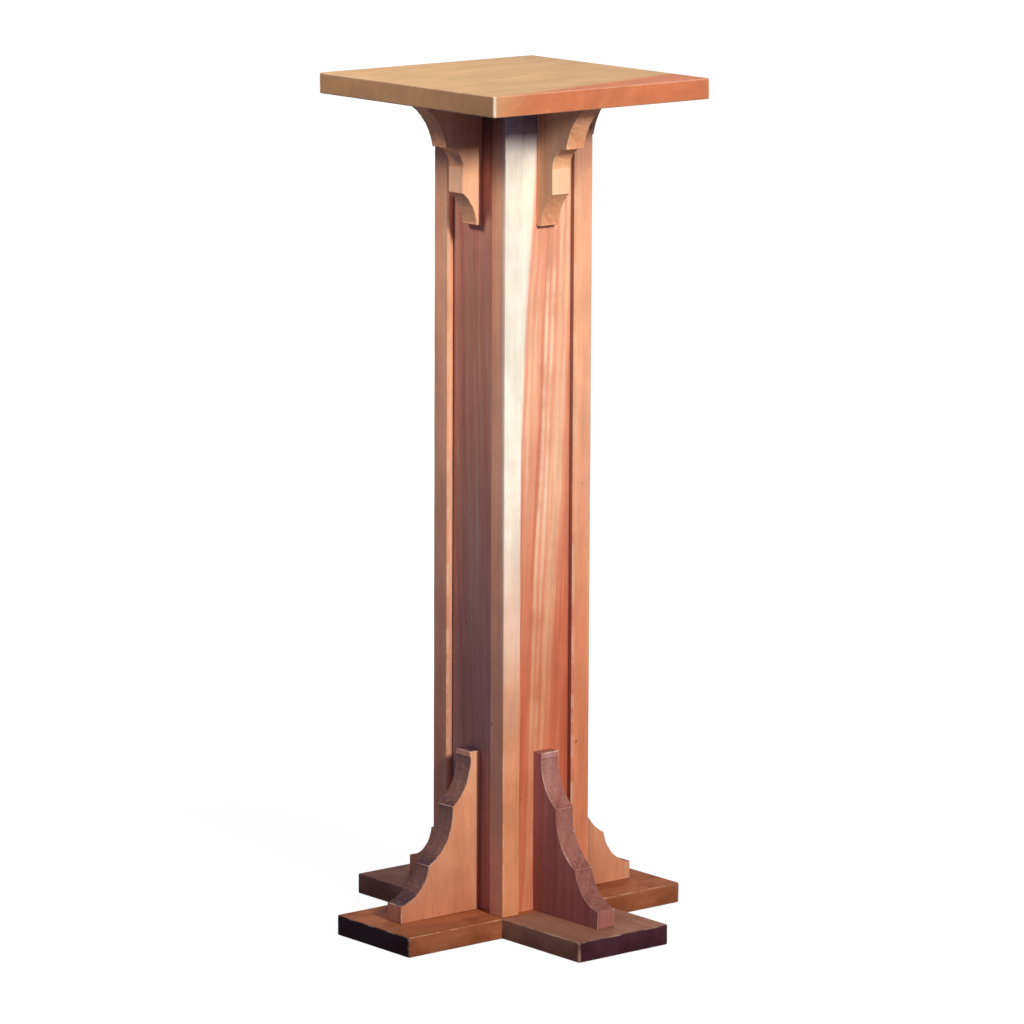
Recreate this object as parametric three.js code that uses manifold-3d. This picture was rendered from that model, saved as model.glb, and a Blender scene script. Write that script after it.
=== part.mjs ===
// A pedestal column stand in solid wood: a square hollow column with recessed panels,
// standing on a half-lapped cross base and carrying a square top.
// Scalloped foot brackets brace it to the base arms, and scalloped corbels carry the top.
// Millimetres, +Z up, origin on the floor under the column's centre.
import * as THREE from "three";
import { mergeVertices } from "three/addons/utils/BufferGeometryUtils.js";
import Module from "manifold-3d";

// ---- Driving dimensions ----
const JOINT_GAP = 0.3; // glue line, and clearance round every fastener

const COLUMN_SIDE = 119;
const COLUMN_HEIGHT = 870; // from the base's top face to the top board's underside
const POST_SIDE = 24; // square corner posts
const POST_CHAMFER = 2; // on the arrises beside the panels
const PANEL_SETBACK = 7; // panel face behind the posts' outer faces
const PANEL_THICKNESS = 8;
const PANEL_TONGUE = 4.5; // panel edge held in each post's groove

const BASE_THICKNESS = 22;
const TOP_THICKNESS = 22;
const ARM_LEDGE = 2.5; // base arm's side beyond the column's face
const TOE_MARGIN = 29; // base arm beyond the toe of its bracket
const TOP_OVERHANG = 17; // top board beyond the corbels
const EASED_EDGE = 1.5; // radius of the softened arrises
const CORNER_RADIUS = 3; // upright corners of the top board and of the arms' ends
const EASED_STEPS = 2;

const BRACKET_THICKNESS = 24;
const BRACKET_EASED = 0.8;
const COVE_STEPS = 6;
// Cusps of the scallops, from the toe to the tip: out from the panel, and along it from the
// bracket's foot. The cove that ends in a cusp starts at the next one with a straight riser,
// then sweeps out along an arc that hollows its chord by the given share.
const FOOT_CUSPS = [
  { out: 107.5, along: 19.5, riser: 0, hollow: 0.16 },
  { out: 70, along: 57.5, riser: 0, hollow: 0.15 },
  { out: 38, along: 117.5, riser: 6, hollow: 0.13 },
  { out: 13.5, along: 174.5 },
];
const CORBEL_CUSPS = [
  { out: 77, along: 2.5, riser: 0, hollow: 0.1 },
  { out: 48.5, along: 46.5, riser: 27, hollow: 0.2 },
  { out: 26, along: 96, riser: 0, hollow: 0.1 },
  { out: 7.5, along: 131 },
];

const BLOCK_HEIGHT = 40; // plugs glued into the column's ends
const BLOCK_SCREW_OUT = 18; // their screws, from each centre line
const COUNTERBORE_RADIUS = 5.5; // wells for the screw heads under the top block

const SCREW_LENGTH = 45;
const SCREW_RADIUS = 2.1;
const SCREW_HEAD_RADIUS = 4.1;
const SCREW_HEAD_HEIGHT = 2.6;
const SCREW_POINT = 5;
const SCREW_SINK = 0.5; // head above the base's underside
const SCREW_IN_TOP = 13; // how far the top screws enter the board
const SCREW_SIDES = 12;

const DOWEL_RADIUS = 3;
const DOWEL_LENGTH = 26;
const DOWEL_CHAMFER = 0.8;
const DOWEL_SIDES = 12;
const DOWEL_IN_TOP = 12; // how far each corbel's upright dowel enters the board
const FASTENER_INSET = 8; // dowels and screws, from a cusp to its thick side

// ---- Places worked out from them ----
const QUARTER = Math.PI / 2;
const HALF_COLUMN = COLUMN_SIDE / 2;
const POST_INNER = HALF_COLUMN - POST_SIDE;
const PANEL_FACE = HALF_COLUMN - PANEL_SETBACK;
const PANEL_BACK = PANEL_FACE - PANEL_THICKNESS;
const ARM_HALF = HALF_COLUMN + ARM_LEDGE;
const ARM_END = PANEL_FACE + FOOT_CUSPS[0].out + TOE_MARGIN;
const TOP_HALF = PANEL_FACE + CORBEL_CUSPS[0].out + TOP_OVERHANG;
const TOP_UNDERSIDE = BASE_THICKNESS + COLUMN_HEIGHT;
const COLUMN_FOOT = BASE_THICKNESS + JOINT_GAP;
const COLUMN_LENGTH = COLUMN_HEIGHT - 2 * JOINT_GAP;
const TOP_BLOCK_FOOT = TOP_UNDERSIDE - JOINT_GAP - BLOCK_HEIGHT;
const TOP_SCREW_FOOT = TOP_UNDERSIDE + SCREW_IN_TOP - SCREW_LENGTH;
const TOP_DOWEL_FOOT = TOP_UNDERSIDE + DOWEL_IN_TOP - DOWEL_LENGTH;
const TOP_DOWEL_OUT = PANEL_FACE + CORBEL_CUSPS[1].out - FASTENER_INSET;

const footDowelHeights = dowelPlaces(FOOT_CUSPS).map((along) => BASE_THICKNESS + along);
const corbelDowelHeights = dowelPlaces(CORBEL_CUSPS).map((along) => TOP_UNDERSIDE - along);
const footScrewPlaces = [2, 1].map(
  (i) => new THREE.Vector3(PANEL_FACE + FOOT_CUSPS[i].out - FASTENER_INSET, 0, SCREW_SINK),
);

// A bracket's dowels lie inside its two middle cusps.
function dowelPlaces(cusps) {
  return [1, 2].map((i) => cusps[i].along - FASTENER_INSET);
}

// Four screws stand in a square through each block, with their heads at the given height.
function blockScrewPlaces(height) {
  return [1, -1].flatMap((x) =>
    [1, -1].map((y) => new THREE.Vector3(x * BLOCK_SCREW_OUT, y * BLOCK_SCREW_OUT, height)),
  );
}

// ---- Cutting one closed shape with others ----
const wasm = await Module();
wasm.setup();

function toSolid(geometry) {
  const bare = geometry.clone().deleteAttribute("normal").deleteAttribute("uv");
  const merged = mergeVertices(bare, 1e-4);
  return new wasm.Manifold(
    new wasm.Mesh({
      numProp: 3,
      vertProperties: merged.attributes.position.array,
      triVerts: new Uint32Array(merged.index.array),
    }),
  );
}

function toGeometry(solid) {
  const mesh = solid.getMesh();
  const geometry = new THREE.BufferGeometry();
  geometry.setAttribute("position", new THREE.BufferAttribute(mesh.vertProperties, 3));
  geometry.setIndex(new THREE.BufferAttribute(mesh.triVerts, 1));
  geometry.computeVertexNormals();
  return geometry;
}

function cut(geometry, cutters) {
  const solid = cutters.reduce((rest, cutter) => rest.subtract(toSolid(cutter)), toSolid(geometry));
  return toGeometry(solid);
}

function keepInside(geometry, boxes) {
  const region = boxes.map(toSolid).reduce((all, one) => all.add(one));
  return toGeometry(toSolid(geometry).intersect(region));
}

// A box from its lowest corner to its highest.
function boxBetween(low, high) {
  const size = high.map((value, axis) => value - low[axis]);
  const centre = high.map((value, axis) => (value + low[axis]) / 2);
  return new THREE.BoxGeometry(...size).translate(...centre);
}

// The same cutters on all four sides of the stand.
function onAllSides(geometries) {
  return [0, 1, 2, 3].flatMap((turn) => geometries.map((g) => g.clone().rotateZ(turn * QUARTER)));
}

// ---- Fasteners, and the clearance hole that each one needs ----
// A turned shape standing along +Z, from pairs of radius and height.
function turned(profile, sides) {
  const points = profile.map(([radius, height]) => new THREE.Vector2(radius, height));
  return new THREE.LatheGeometry(points, sides).rotateX(QUARTER);
}

// Countersunk screw, head down, from the rim of its head to its point.
function screwProfile(gap) {
  return [
    [SCREW_HEAD_RADIUS + gap, gap],
    [SCREW_RADIUS + gap, SCREW_HEAD_HEIGHT + gap],
    [SCREW_RADIUS + gap, SCREW_LENGTH - SCREW_POINT + gap],
    [0, SCREW_LENGTH + gap],
  ];
}

function screw() {
  return turned([[0, 0], ...screwProfile(0)], SCREW_SIDES);
}

// The hole opens below the head with a well of its own radius and depth.
function screwHole(place, wellRadius = SCREW_HEAD_RADIUS + JOINT_GAP, wellDepth = 2 * SCREW_SINK) {
  const well = [
    [0, -wellDepth],
    [wellRadius, -wellDepth],
    [wellRadius, JOINT_GAP],
  ];
  return turned([...well, ...screwProfile(JOINT_GAP)], SCREW_SIDES).translate(...place.toArray());
}

// Fluteless dowel with chamfered ends.
function dowel(gap = 0) {
  const radius = DOWEL_RADIUS + gap;
  const tip = radius - DOWEL_CHAMFER;
  const profile = [
    [0, -gap],
    [tip, -gap],
    [radius, DOWEL_CHAMFER - gap],
    [radius, DOWEL_LENGTH - DOWEL_CHAMFER + gap],
    [tip, DOWEL_LENGTH + gap],
    [0, DOWEL_LENGTH + gap],
  ];
  return turned(profile, DOWEL_SIDES);
}

// Level dowel from the panel's back out into a bracket.
function panelDowelHole(height) {
  return dowel(JOINT_GAP).rotateY(QUARTER).translate(PANEL_BACK, 0, height);
}

function topDowelHole() {
  return dowel(JOINT_GAP).translate(TOP_DOWEL_OUT, 0, TOP_DOWEL_FOOT);
}

// ---- The column ----
// Square corner post in the +X +Y corner, with a groove for each panel beside it.
function cornerPost() {
  const grooveBottom = POST_INNER + PANEL_TONGUE + JOINT_GAP;
  const grooveBack = PANEL_BACK - JOINT_GAP;
  const grooveFront = PANEL_FACE + JOINT_GAP;
  const outerArc = HALF_COLUMN - EASED_EDGE;
  const shape = new THREE.Shape();
  shape.moveTo(POST_INNER, POST_INNER);
  shape.lineTo(grooveBack, POST_INNER);
  shape.lineTo(grooveBack, grooveBottom);
  shape.lineTo(grooveFront, grooveBottom);
  shape.lineTo(grooveFront, POST_INNER);
  shape.lineTo(HALF_COLUMN - POST_CHAMFER, POST_INNER);
  shape.lineTo(HALF_COLUMN, POST_INNER + POST_CHAMFER);
  shape.absarc(outerArc, outerArc, EASED_EDGE, 0, QUARTER, false);
  shape.lineTo(POST_INNER + POST_CHAMFER, HALF_COLUMN);
  shape.lineTo(POST_INNER, HALF_COLUMN - POST_CHAMFER);
  shape.lineTo(POST_INNER, grooveFront);
  shape.lineTo(grooveBottom, grooveFront);
  shape.lineTo(grooveBottom, grooveBack);
  shape.lineTo(POST_INNER, grooveBack);
  return new THREE.ExtrudeGeometry(shape, {
    depth: COLUMN_LENGTH,
    bevelEnabled: false,
    curveSegments: EASED_STEPS,
  }).translate(0, 0, COLUMN_FOOT);
}

// Thin panel on the +X side, bored for the dowels of its two brackets.
function panel() {
  const halfWidth = POST_INNER + PANEL_TONGUE;
  const board = boxBetween(
    [PANEL_BACK, -halfWidth, COLUMN_FOOT],
    [PANEL_FACE, halfWidth, COLUMN_FOOT + COLUMN_LENGTH],
  );
  return cut(board, [...footDowelHeights, ...corbelDowelHeights].map(panelDowelHole));
}

// Plug for the column's end: fits the panels' backs, with corners cut to clear the posts.
function blockBlank(foot) {
  const flat = PANEL_BACK - JOINT_GAP;
  const side = 2 * (POST_INNER - JOINT_GAP) - flat;
  const quarter = [new THREE.Vector2(flat, -side), new THREE.Vector2(flat, side)];
  const origin = new THREE.Vector2();
  const corners = [0, 1, 2, 3].flatMap((turn) =>
    quarter.map((corner) => corner.clone().rotateAround(origin, turn * QUARTER)),
  );
  return new THREE.ExtrudeGeometry(new THREE.Shape(corners), {
    depth: BLOCK_HEIGHT,
    bevelEnabled: false,
  }).translate(0, 0, foot);
}

function bottomBlock() {
  return cut(
    blockBlank(COLUMN_FOOT),
    blockScrewPlaces(SCREW_SINK).map((place) => screwHole(place)),
  );
}

function topBlock() {
  const wellDepth = TOP_SCREW_FOOT - TOP_BLOCK_FOOT + JOINT_GAP;
  return cut(
    blockBlank(TOP_BLOCK_FOOT),
    blockScrewPlaces(TOP_SCREW_FOOT).map((place) => screwHole(place, COUNTERBORE_RADIUS, wellDepth)),
  );
}

// ---- Brackets ----
// One cove: a straight riser, then an arc from there to the cusp.
function addCove(shape, start, cusp) {
  const from = new THREE.Vector2(start.out, start.along - cusp.riser);
  const to = new THREE.Vector2(cusp.out, cusp.along);
  const chord = new THREE.Vector2().subVectors(to, from);
  const depth = cusp.hollow * chord.length();
  const radius = chord.lengthSq() / (8 * depth) + depth / 2;
  const outward = new THREE.Vector2(-chord.y, chord.x).normalize();
  const centre = new THREE.Vector2()
    .addVectors(from, to)
    .multiplyScalar(0.5)
    .addScaledVector(outward, radius - depth);
  const angleTo = (point) => Math.atan2(point.y - centre.y, point.x - centre.x);
  shape.absarc(centre.x, centre.y, radius, angleTo(from), angleTo(to), false);
}

// Side view of a bracket: straight back and foot, with coves from the tip to the toe.
// Back and foot run past their joints by the easing, so that no arris is eased there.
function scallopedShape(cusps) {
  const start = JOINT_GAP - BRACKET_EASED;
  const [toe] = cusps;
  const tip = cusps[cusps.length - 1];
  const shape = new THREE.Shape();
  shape.moveTo(start, start);
  shape.lineTo(start, tip.along);
  shape.lineTo(tip.out, tip.along);
  for (let i = cusps.length - 2; i >= 0; i -= 1) {
    addCove(shape, cusps[i + 1], cusps[i]);
  }
  shape.lineTo(toe.out, start);
  return shape;
}

// Eased bracket standing on its foot, with its back to the -X side.
function bracketBlank(cusps) {
  const eased = new THREE.ExtrudeGeometry(scallopedShape(cusps), {
    depth: BRACKET_THICKNESS - 2 * BRACKET_EASED,
    bevelThickness: BRACKET_EASED,
    bevelSize: BRACKET_EASED,
    bevelOffset: -BRACKET_EASED,
    bevelSegments: 1,
    curveSegments: COVE_STEPS,
  })
    .translate(0, 0, BRACKET_EASED - BRACKET_THICKNESS / 2)
    .rotateX(QUARTER);
  const [toe] = cusps;
  const tip = cusps[cusps.length - 1];
  const room = boxBetween(
    [JOINT_GAP, -BRACKET_THICKNESS, JOINT_GAP],
    [toe.out + 1, BRACKET_THICKNESS, tip.along + 1],
  );
  return keepInside(eased, [room]);
}

function footBracket() {
  return cut(bracketBlank(FOOT_CUSPS).translate(PANEL_FACE, 0, BASE_THICKNESS), [
    ...footDowelHeights.map(panelDowelHole),
    ...footScrewPlaces.map((place) => screwHole(place)),
  ]);
}

// The same kind of bracket turned over, with its foot up under the top board.
function corbel() {
  const blank = bracketBlank(CORBEL_CUSPS).rotateX(2 * QUARTER).translate(PANEL_FACE, 0, TOP_UNDERSIDE);
  return cut(blank, [...corbelDowelHeights.map(panelDowelHole), topDowelHole()]);
}

// ---- Boards ----
// Outline with rounded outer corners; a corner that turns inwards stays sharp.
function roundedOutline(corners) {
  const points = corners.map(([x, y]) => new THREE.Vector2(x, y));
  const shape = new THREE.Shape();
  points.forEach((corner, i) => {
    const before = points.at(i - 1).clone().sub(corner).setLength(CORNER_RADIUS);
    const after = points[(i + 1) % points.length].clone().sub(corner).setLength(CORNER_RADIUS);
    const turnsInwards = before.cross(after) > 0;
    const arcStart = turnsInwards ? corner : before.add(corner);
    const arcEnd = after.add(corner);
    if (i === 0) {
      shape.moveTo(arcStart.x, arcStart.y);
    } else {
      shape.lineTo(arcStart.x, arcStart.y);
    }
    if (!turnsInwards) {
      shape.quadraticCurveTo(corner.x, corner.y, arcEnd.x, arcEnd.y);
    }
  });
  return shape;
}

// A flat board with its arrises eased, from z = 0 up.
function easedBoard(corners, thickness) {
  return new THREE.ExtrudeGeometry(roundedOutline(corners), {
    depth: thickness - 2 * EASED_EDGE,
    bevelThickness: EASED_EDGE,
    bevelSize: EASED_EDGE,
    bevelOffset: -EASED_EDGE,
    bevelSegments: EASED_STEPS,
    curveSegments: EASED_STEPS,
  }).translate(0, 0, EASED_EDGE);
}

// One board of the cross, along X or Y: both its arms, and its half of the lap between them.
function baseBoard(alongX, lapLow, lapHigh) {
  const [a, b] = [ARM_HALF, ARM_END];
  const crossCorners = [
    [b, -a], [b, a], [a, a], [a, b], [-a, b], [-a, a],
    [-b, a], [-b, -a], [-a, -a], [-a, -b], [a, -b], [a, -a],
  ];
  const shoulder = a + JOINT_GAP;
  const slice = (from, to, low, high) =>
    alongX ? boxBetween([from, -a, low], [to, a, high]) : boxBetween([-a, from, low], [a, to, high]);
  const above = BASE_THICKNESS + 1;
  const arms = keepInside(easedBoard(crossCorners, BASE_THICKNESS), [
    slice(-b - 1, -shoulder, -1, above),
    slice(-shoulder - 1, shoulder + 1, lapLow, lapHigh),
    slice(shoulder, b + 1, -1, above),
  ]);
  return cut(arms, [
    ...onAllSides(footScrewPlaces.map((place) => screwHole(place))),
    ...blockScrewPlaces(SCREW_SINK).map((place) => screwHole(place)),
  ]);
}

function topBoard() {
  const h = TOP_HALF;
  const square = [[-h, -h], [h, -h], [h, h], [-h, h]];
  return cut(easedBoard(square, TOP_THICKNESS).translate(0, 0, TOP_UNDERSIDE), [
    ...onAllSides([topDowelHole()]),
    ...blockScrewPlaces(TOP_SCREW_FOOT).map((place) => screwHole(place)),
  ]);
}

// ---- Finishes ----
const wood = {
  post: new THREE.MeshStandardMaterial({ color: 0xc98a5e, roughness: 0.5, metalness: 0 }),
  panel: new THREE.MeshStandardMaterial({ color: 0xbd7a55, roughness: 0.55, metalness: 0 }),
  top: new THREE.MeshStandardMaterial({ color: 0xcf9a66, roughness: 0.45, metalness: 0 }),
  base: new THREE.MeshStandardMaterial({ color: 0xb67c4f, roughness: 0.5, metalness: 0 }),
  bracket: new THREE.MeshStandardMaterial({ color: 0xbf8152, roughness: 0.55, metalness: 0 }),
  inner: new THREE.MeshStandardMaterial({ color: 0xd2ab7e, roughness: 0.7, metalness: 0 }),
};
const steel = new THREE.MeshStandardMaterial({ color: 0xb9bab8, roughness: 0.35, metalness: 1 });

function piece(name, geometry, material, place = new THREE.Vector3()) {
  const mesh = new THREE.Mesh(geometry, material);
  mesh.name = name;
  mesh.position.copy(place);
  return mesh;
}

// ---- Sub-assemblies ----
// Everything on one side of the column, made as if it faced +X.
function sideOfColumn(name) {
  const side = new THREE.Group();
  side.add(piece(`panel_${name}`, panel(), wood.panel));
  side.add(piece(`foot_bracket_${name}`, footBracket(), wood.bracket));
  side.add(piece(`corbel_${name}`, corbel(), wood.bracket));
  const levelDowels = { foot: footDowelHeights, corbel: corbelDowelHeights };
  for (const [kind, heights] of Object.entries(levelDowels)) {
    heights.forEach((height, i) => {
      const place = new THREE.Vector3(PANEL_BACK, 0, height);
      const level = piece(`${kind}_dowel_${name}_${i + 1}`, dowel(), wood.inner, place);
      level.rotation.y = QUARTER;
      side.add(level);
    });
  }
  const upright = new THREE.Vector3(TOP_DOWEL_OUT, 0, TOP_DOWEL_FOOT);
  side.add(piece(`top_dowel_${name}`, dowel(), wood.inner, upright));
  footScrewPlaces.forEach((place, i) => {
    side.add(piece(`foot_screw_${name}_${i + 1}`, screw(), steel, place));
  });
  return side;
}

function blockScrews(name, height) {
  const group = new THREE.Group();
  blockScrewPlaces(height).forEach((place, i) => {
    group.add(piece(`${name}_screw_${i + 1}`, screw(), steel, place));
  });
  return group;
}

const stand = new THREE.Group();
const halfLap = BASE_THICKNESS / 2;
stand.add(piece("base_board_lower", baseBoard(true, -1, halfLap - JOINT_GAP / 2), wood.base));
stand.add(piece("base_board_upper", baseBoard(false, halfLap + JOINT_GAP / 2, BASE_THICKNESS + 1), wood.base));
stand.add(piece("bottom_block", bottomBlock(), wood.inner));
stand.add(piece("top_block", topBlock(), wood.inner));
stand.add(piece("top_board", topBoard(), wood.top));
stand.add(blockScrews("base", SCREW_SINK));
stand.add(blockScrews("top", TOP_SCREW_FOOT));

["back_right", "back_left", "front_left", "front_right"].forEach((name, turn) => {
  const post = piece(`corner_post_${name}`, cornerPost(), wood.post);
  post.rotation.z = turn * QUARTER;
  stand.add(post);
});

["right", "back", "left", "front"].forEach((name, turn) => {
  const side = sideOfColumn(name);
  side.rotation.z = turn * QUARTER;
  stand.add(side);
});

export default stand;
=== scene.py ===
"""Dresses the pedestal column stand in oiled wood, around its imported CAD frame.

Sizes are metres in the stand's own frame: +Z up, origin on the floor under the middle of
the column, base arms along X and Y. Each wooden piece is worked out again as a finer
surface, with eased arrises, sawn coves and slightly uneven hand-planed faces, and has a
solid wood pattern that runs along its own grain.
"""
import logging
import math
from collections.abc import Iterator, Sequence
from dataclasses import dataclass, field, replace
from enum import Enum

import bmesh
import bpy
import numpy as np
from mathutils import Euler, Matrix, Vector


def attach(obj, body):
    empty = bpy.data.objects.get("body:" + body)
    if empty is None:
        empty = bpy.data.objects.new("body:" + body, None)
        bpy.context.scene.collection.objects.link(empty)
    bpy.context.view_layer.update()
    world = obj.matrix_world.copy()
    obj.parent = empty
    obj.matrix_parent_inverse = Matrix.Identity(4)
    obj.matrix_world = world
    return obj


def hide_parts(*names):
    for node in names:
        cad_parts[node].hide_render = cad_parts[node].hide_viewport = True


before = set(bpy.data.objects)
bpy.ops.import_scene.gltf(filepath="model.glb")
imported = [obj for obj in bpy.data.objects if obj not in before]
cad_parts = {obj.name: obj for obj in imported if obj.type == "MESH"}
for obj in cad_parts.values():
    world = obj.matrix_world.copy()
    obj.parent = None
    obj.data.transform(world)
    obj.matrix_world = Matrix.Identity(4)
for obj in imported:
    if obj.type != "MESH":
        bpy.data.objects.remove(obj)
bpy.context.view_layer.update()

BODY = "root"
MM = 0.001
JOINT_GAP = 0.3 * MM
MERGE_DISTANCE = 2e-6
CRISP_ANGLE = math.radians(38)
SIDES = ("right", "back", "left", "front")
CORNERS = ("back_right", "back_left", "front_left", "front_right")

Triple = tuple[float, float, float]

log = logging.getLogger("pedestal")


# ---------------------------------------------------------------- outlines


def unit(vector: np.ndarray) -> np.ndarray:
    """Vectors scaled to length one along the last axis."""
    return vector / np.linalg.norm(vector, axis=-1, keepdims=True)


def outward_of(tangents: np.ndarray) -> np.ndarray:
    """Outward normals of a counter-clockwise outline: its tangents turned a quarter to the right."""
    return np.stack([tangents[..., 1], -tangents[..., 0]], axis=-1)


@dataclass(frozen=True)
class Leg:
    """One run of an outline between two corners.

    Attributes:
        points: Its points, both corners included.
        radius: Radius of the rounding at the corner where it starts.
        spacing: Greatest distance between the points that are kept.
        sawn: 1 where a saw or rasp left its ripple, 0 on planed edges.
        eased: 1 where the arris beside the run is eased, 0 where it stays crisp.
    """

    points: np.ndarray
    radius: float
    spacing: float
    sawn: float = 0.0
    eased: float = 1.0


@dataclass(frozen=True)
class Outline:
    """A closed counter-clockwise outline, point by point.

    Attributes:
        points: Places in the outline's plane.
        normals: Outward unit normals.
        worn_and_lit: 1 in the middle of a rounded outer corner, 0 on its flats; there the arris
        is painted paler, partly abraded finish and partly painted highlight.
        sawn: How much saw ripple each point has.
        eased: 1 where the arris beside the point is eased, 0 where it stays crisp.
    """

    points: np.ndarray
    normals: np.ndarray
    worn_and_lit: np.ndarray
    sawn: np.ndarray
    eased: np.ndarray


def line(start: tuple[float, float], end: tuple[float, float]) -> np.ndarray:
    """The two ends of a straight run."""
    return np.array([start, end], float)


def corner_arc(
    corner: np.ndarray, before: np.ndarray, after: np.ndarray, radius: float, steps: int
) -> tuple[np.ndarray, np.ndarray, np.ndarray, float]:
    """Rounds a corner with an arc that touches both legs.

    The arc turns by the angle between the legs' headings. It starts radius * tan(angle / 2)
    before the corner, and each point is the start moved by the radius times the difference
    between its own normal and the first, inwards on an outer corner and outwards on an inner one.

    Args:
        corner: The corner's place.
        before: Heading of the leg that arrives.
        after: Heading of the leg that leaves.
        radius: Radius of the arc.
        steps: Number of straight pieces in it.

    Returns:
        Points, normals, the paler-arris mark of each point, and the length that the arc takes from each
        leg.
    """
    turn = math.atan2(before[0] * after[1] - before[1] * after[0], float(before @ after))
    side = math.copysign(1.0, turn)
    trim = radius * math.tan(abs(turn) / 2)
    share = np.linspace(0.0, 1.0, steps + 1)
    first = outward_of(before)
    cos, sin = np.cos(turn * share), np.sin(turn * share)
    normals = np.stack([first[0] * cos - first[1] * sin, first[0] * sin + first[1] * cos], axis=1)
    points = corner - before * trim + side * radius * (normals - first)
    worn_and_lit = np.sin(math.pi * share) * max(side, 0.0) * min(1.0, abs(turn))
    return points, normals, worn_and_lit, trim


def joined(legs: list[Leg], steps: int = 5, support: float = 0.35 * MM) -> Outline:
    """Joins legs into one closed outline with rounded corners.

    Args:
        legs: The runs in order; the last one ends where the first one starts.
        steps: Straight pieces in each corner's arc.
        support: Distance of the nearest kept point from each arc, so that flats shade flat.

    Returns:
        The outline.
    """
    headings = [
        (unit(leg.points[1] - leg.points[0]), unit(leg.points[-1] - leg.points[-2])) for leg in legs
    ]
    arcs = [
        corner_arc(leg.points[0], headings[k - 1][1], headings[k][0], leg.radius, steps)
        for k, leg in enumerate(legs)
    ]
    points, normals, worn_and_lit, sawn, eased = [], [], [], [], []
    for k, leg in enumerate(legs):
        lengths = np.linalg.norm(np.diff(leg.points, axis=0), axis=1)
        reach = np.concatenate(([0.0], np.cumsum(lengths)))
        low, high = arcs[k][3], reach[-1] - arcs[(k + 1) % len(legs)][3]
        margin = min(support, (high - low) / 3)
        count = max(2, int(math.ceil((high - low) / leg.spacing)) + 1)
        kept = np.linspace(low + margin, high - margin, count)
        run = np.stack([np.interp(kept, reach, leg.points[:, axis]) for axis in (0, 1)], axis=1)
        points += [arcs[k][0], run]
        normals += [arcs[k][1], outward_of(unit(np.gradient(run, axis=0)))]
        worn_and_lit += [arcs[k][2], np.zeros(count)]
        sawn += [np.zeros(steps + 1), np.full(count, leg.sawn)]
        crisper = min(leg.eased, legs[k - 1].eased)
        eased += [np.full(steps + 1, crisper), np.full(count, leg.eased)]
    return Outline(*(np.concatenate(parts) for parts in (points, normals, worn_and_lit, sawn, eased)))


def ring_of_legs(
    corners: Sequence[tuple[float, float]], radii: Sequence[float], spacing: float
) -> list[Leg]:
    """Straight legs from each corner to the next and back to the first.

    Args:
        corners: The corners, counter-clockwise.
        radii: Radius of the rounding at each corner.
        spacing: Greatest distance between the points that are kept.

    Returns:
        The legs.
    """
    following = list(corners[1:]) + list(corners[:1])
    return [
        Leg(line(here, there), radius, spacing)
        for here, there, radius in zip(corners, following, radii)
    ]


def rectangle(half_x: float, half_y: float, radius: float, spacing: float) -> Outline:
    """A rectangle about the origin with rounded corners."""
    corners = [(-half_x, -half_y), (half_x, -half_y), (half_x, half_y), (-half_x, half_y)]
    return joined(ring_of_legs(corners, [radius] * 4, spacing))


# ---------------------------------------------------------------- carried surfaces


@dataclass(frozen=True)
class Levels:
    """Rows of an outline that is carried from one end of a piece to the other.

    Attributes:
        height: Place of each row along the path.
        inset: How far the outline is drawn in there.
        worn_and_lit: 1 in the middle of the eased arris, 0 on the flats; the arris painted paler,
        partly abraded finish and partly painted highlight.
        inner: 1 on rows between the two ends' faces, 0 on the end faces.
    """

    height: np.ndarray
    inset: np.ndarray
    worn_and_lit: np.ndarray
    inner: np.ndarray


def eased_levels(
    low: float, high: float, radius: float, spacing: float, support: float = 0.3 * MM
) -> Levels:
    """Rows with a quarter-round arris at both ends.

    At angle t of the quarter the outline is drawn in by radius * (1 - sin t) and stands
    radius * (1 - cos t) inside the end; the paler-arris mark is sin 2t. One more row on the end
    face keeps it flat in shading.

    Args:
        low: Height of one end.
        high: Height of the other.
        radius: Radius of the arris.
        spacing: Distance between the rows in between.
        support: Distance of the supporting rows from the arris.

    Returns:
        The rows.
    """
    angle = np.linspace(0.0, math.pi / 2, 6)
    count = max(2, int(math.ceil((high - low - 2 * radius) / spacing)) + 1)
    middle = np.linspace(low + radius + support, high - radius - support, count)
    rise, inset, worn_and_lit = radius * (1 - np.cos(angle)), radius * (1 - np.sin(angle)), np.sin(2 * angle)
    face, flats = [radius + support], np.zeros(count)
    return Levels(
        height=np.concatenate(([low], low + rise, middle, (high - rise)[::-1], [high])),
        inset=np.concatenate((face, inset, flats, inset[::-1], face)),
        worn_and_lit=np.concatenate(([0.0], worn_and_lit, flats, worn_and_lit[::-1], [0.0])),
        inner=np.concatenate(([0.0, 0.0], np.ones(count + 2 * len(angle) - 2), [0.0, 0.0])),
    )


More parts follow.
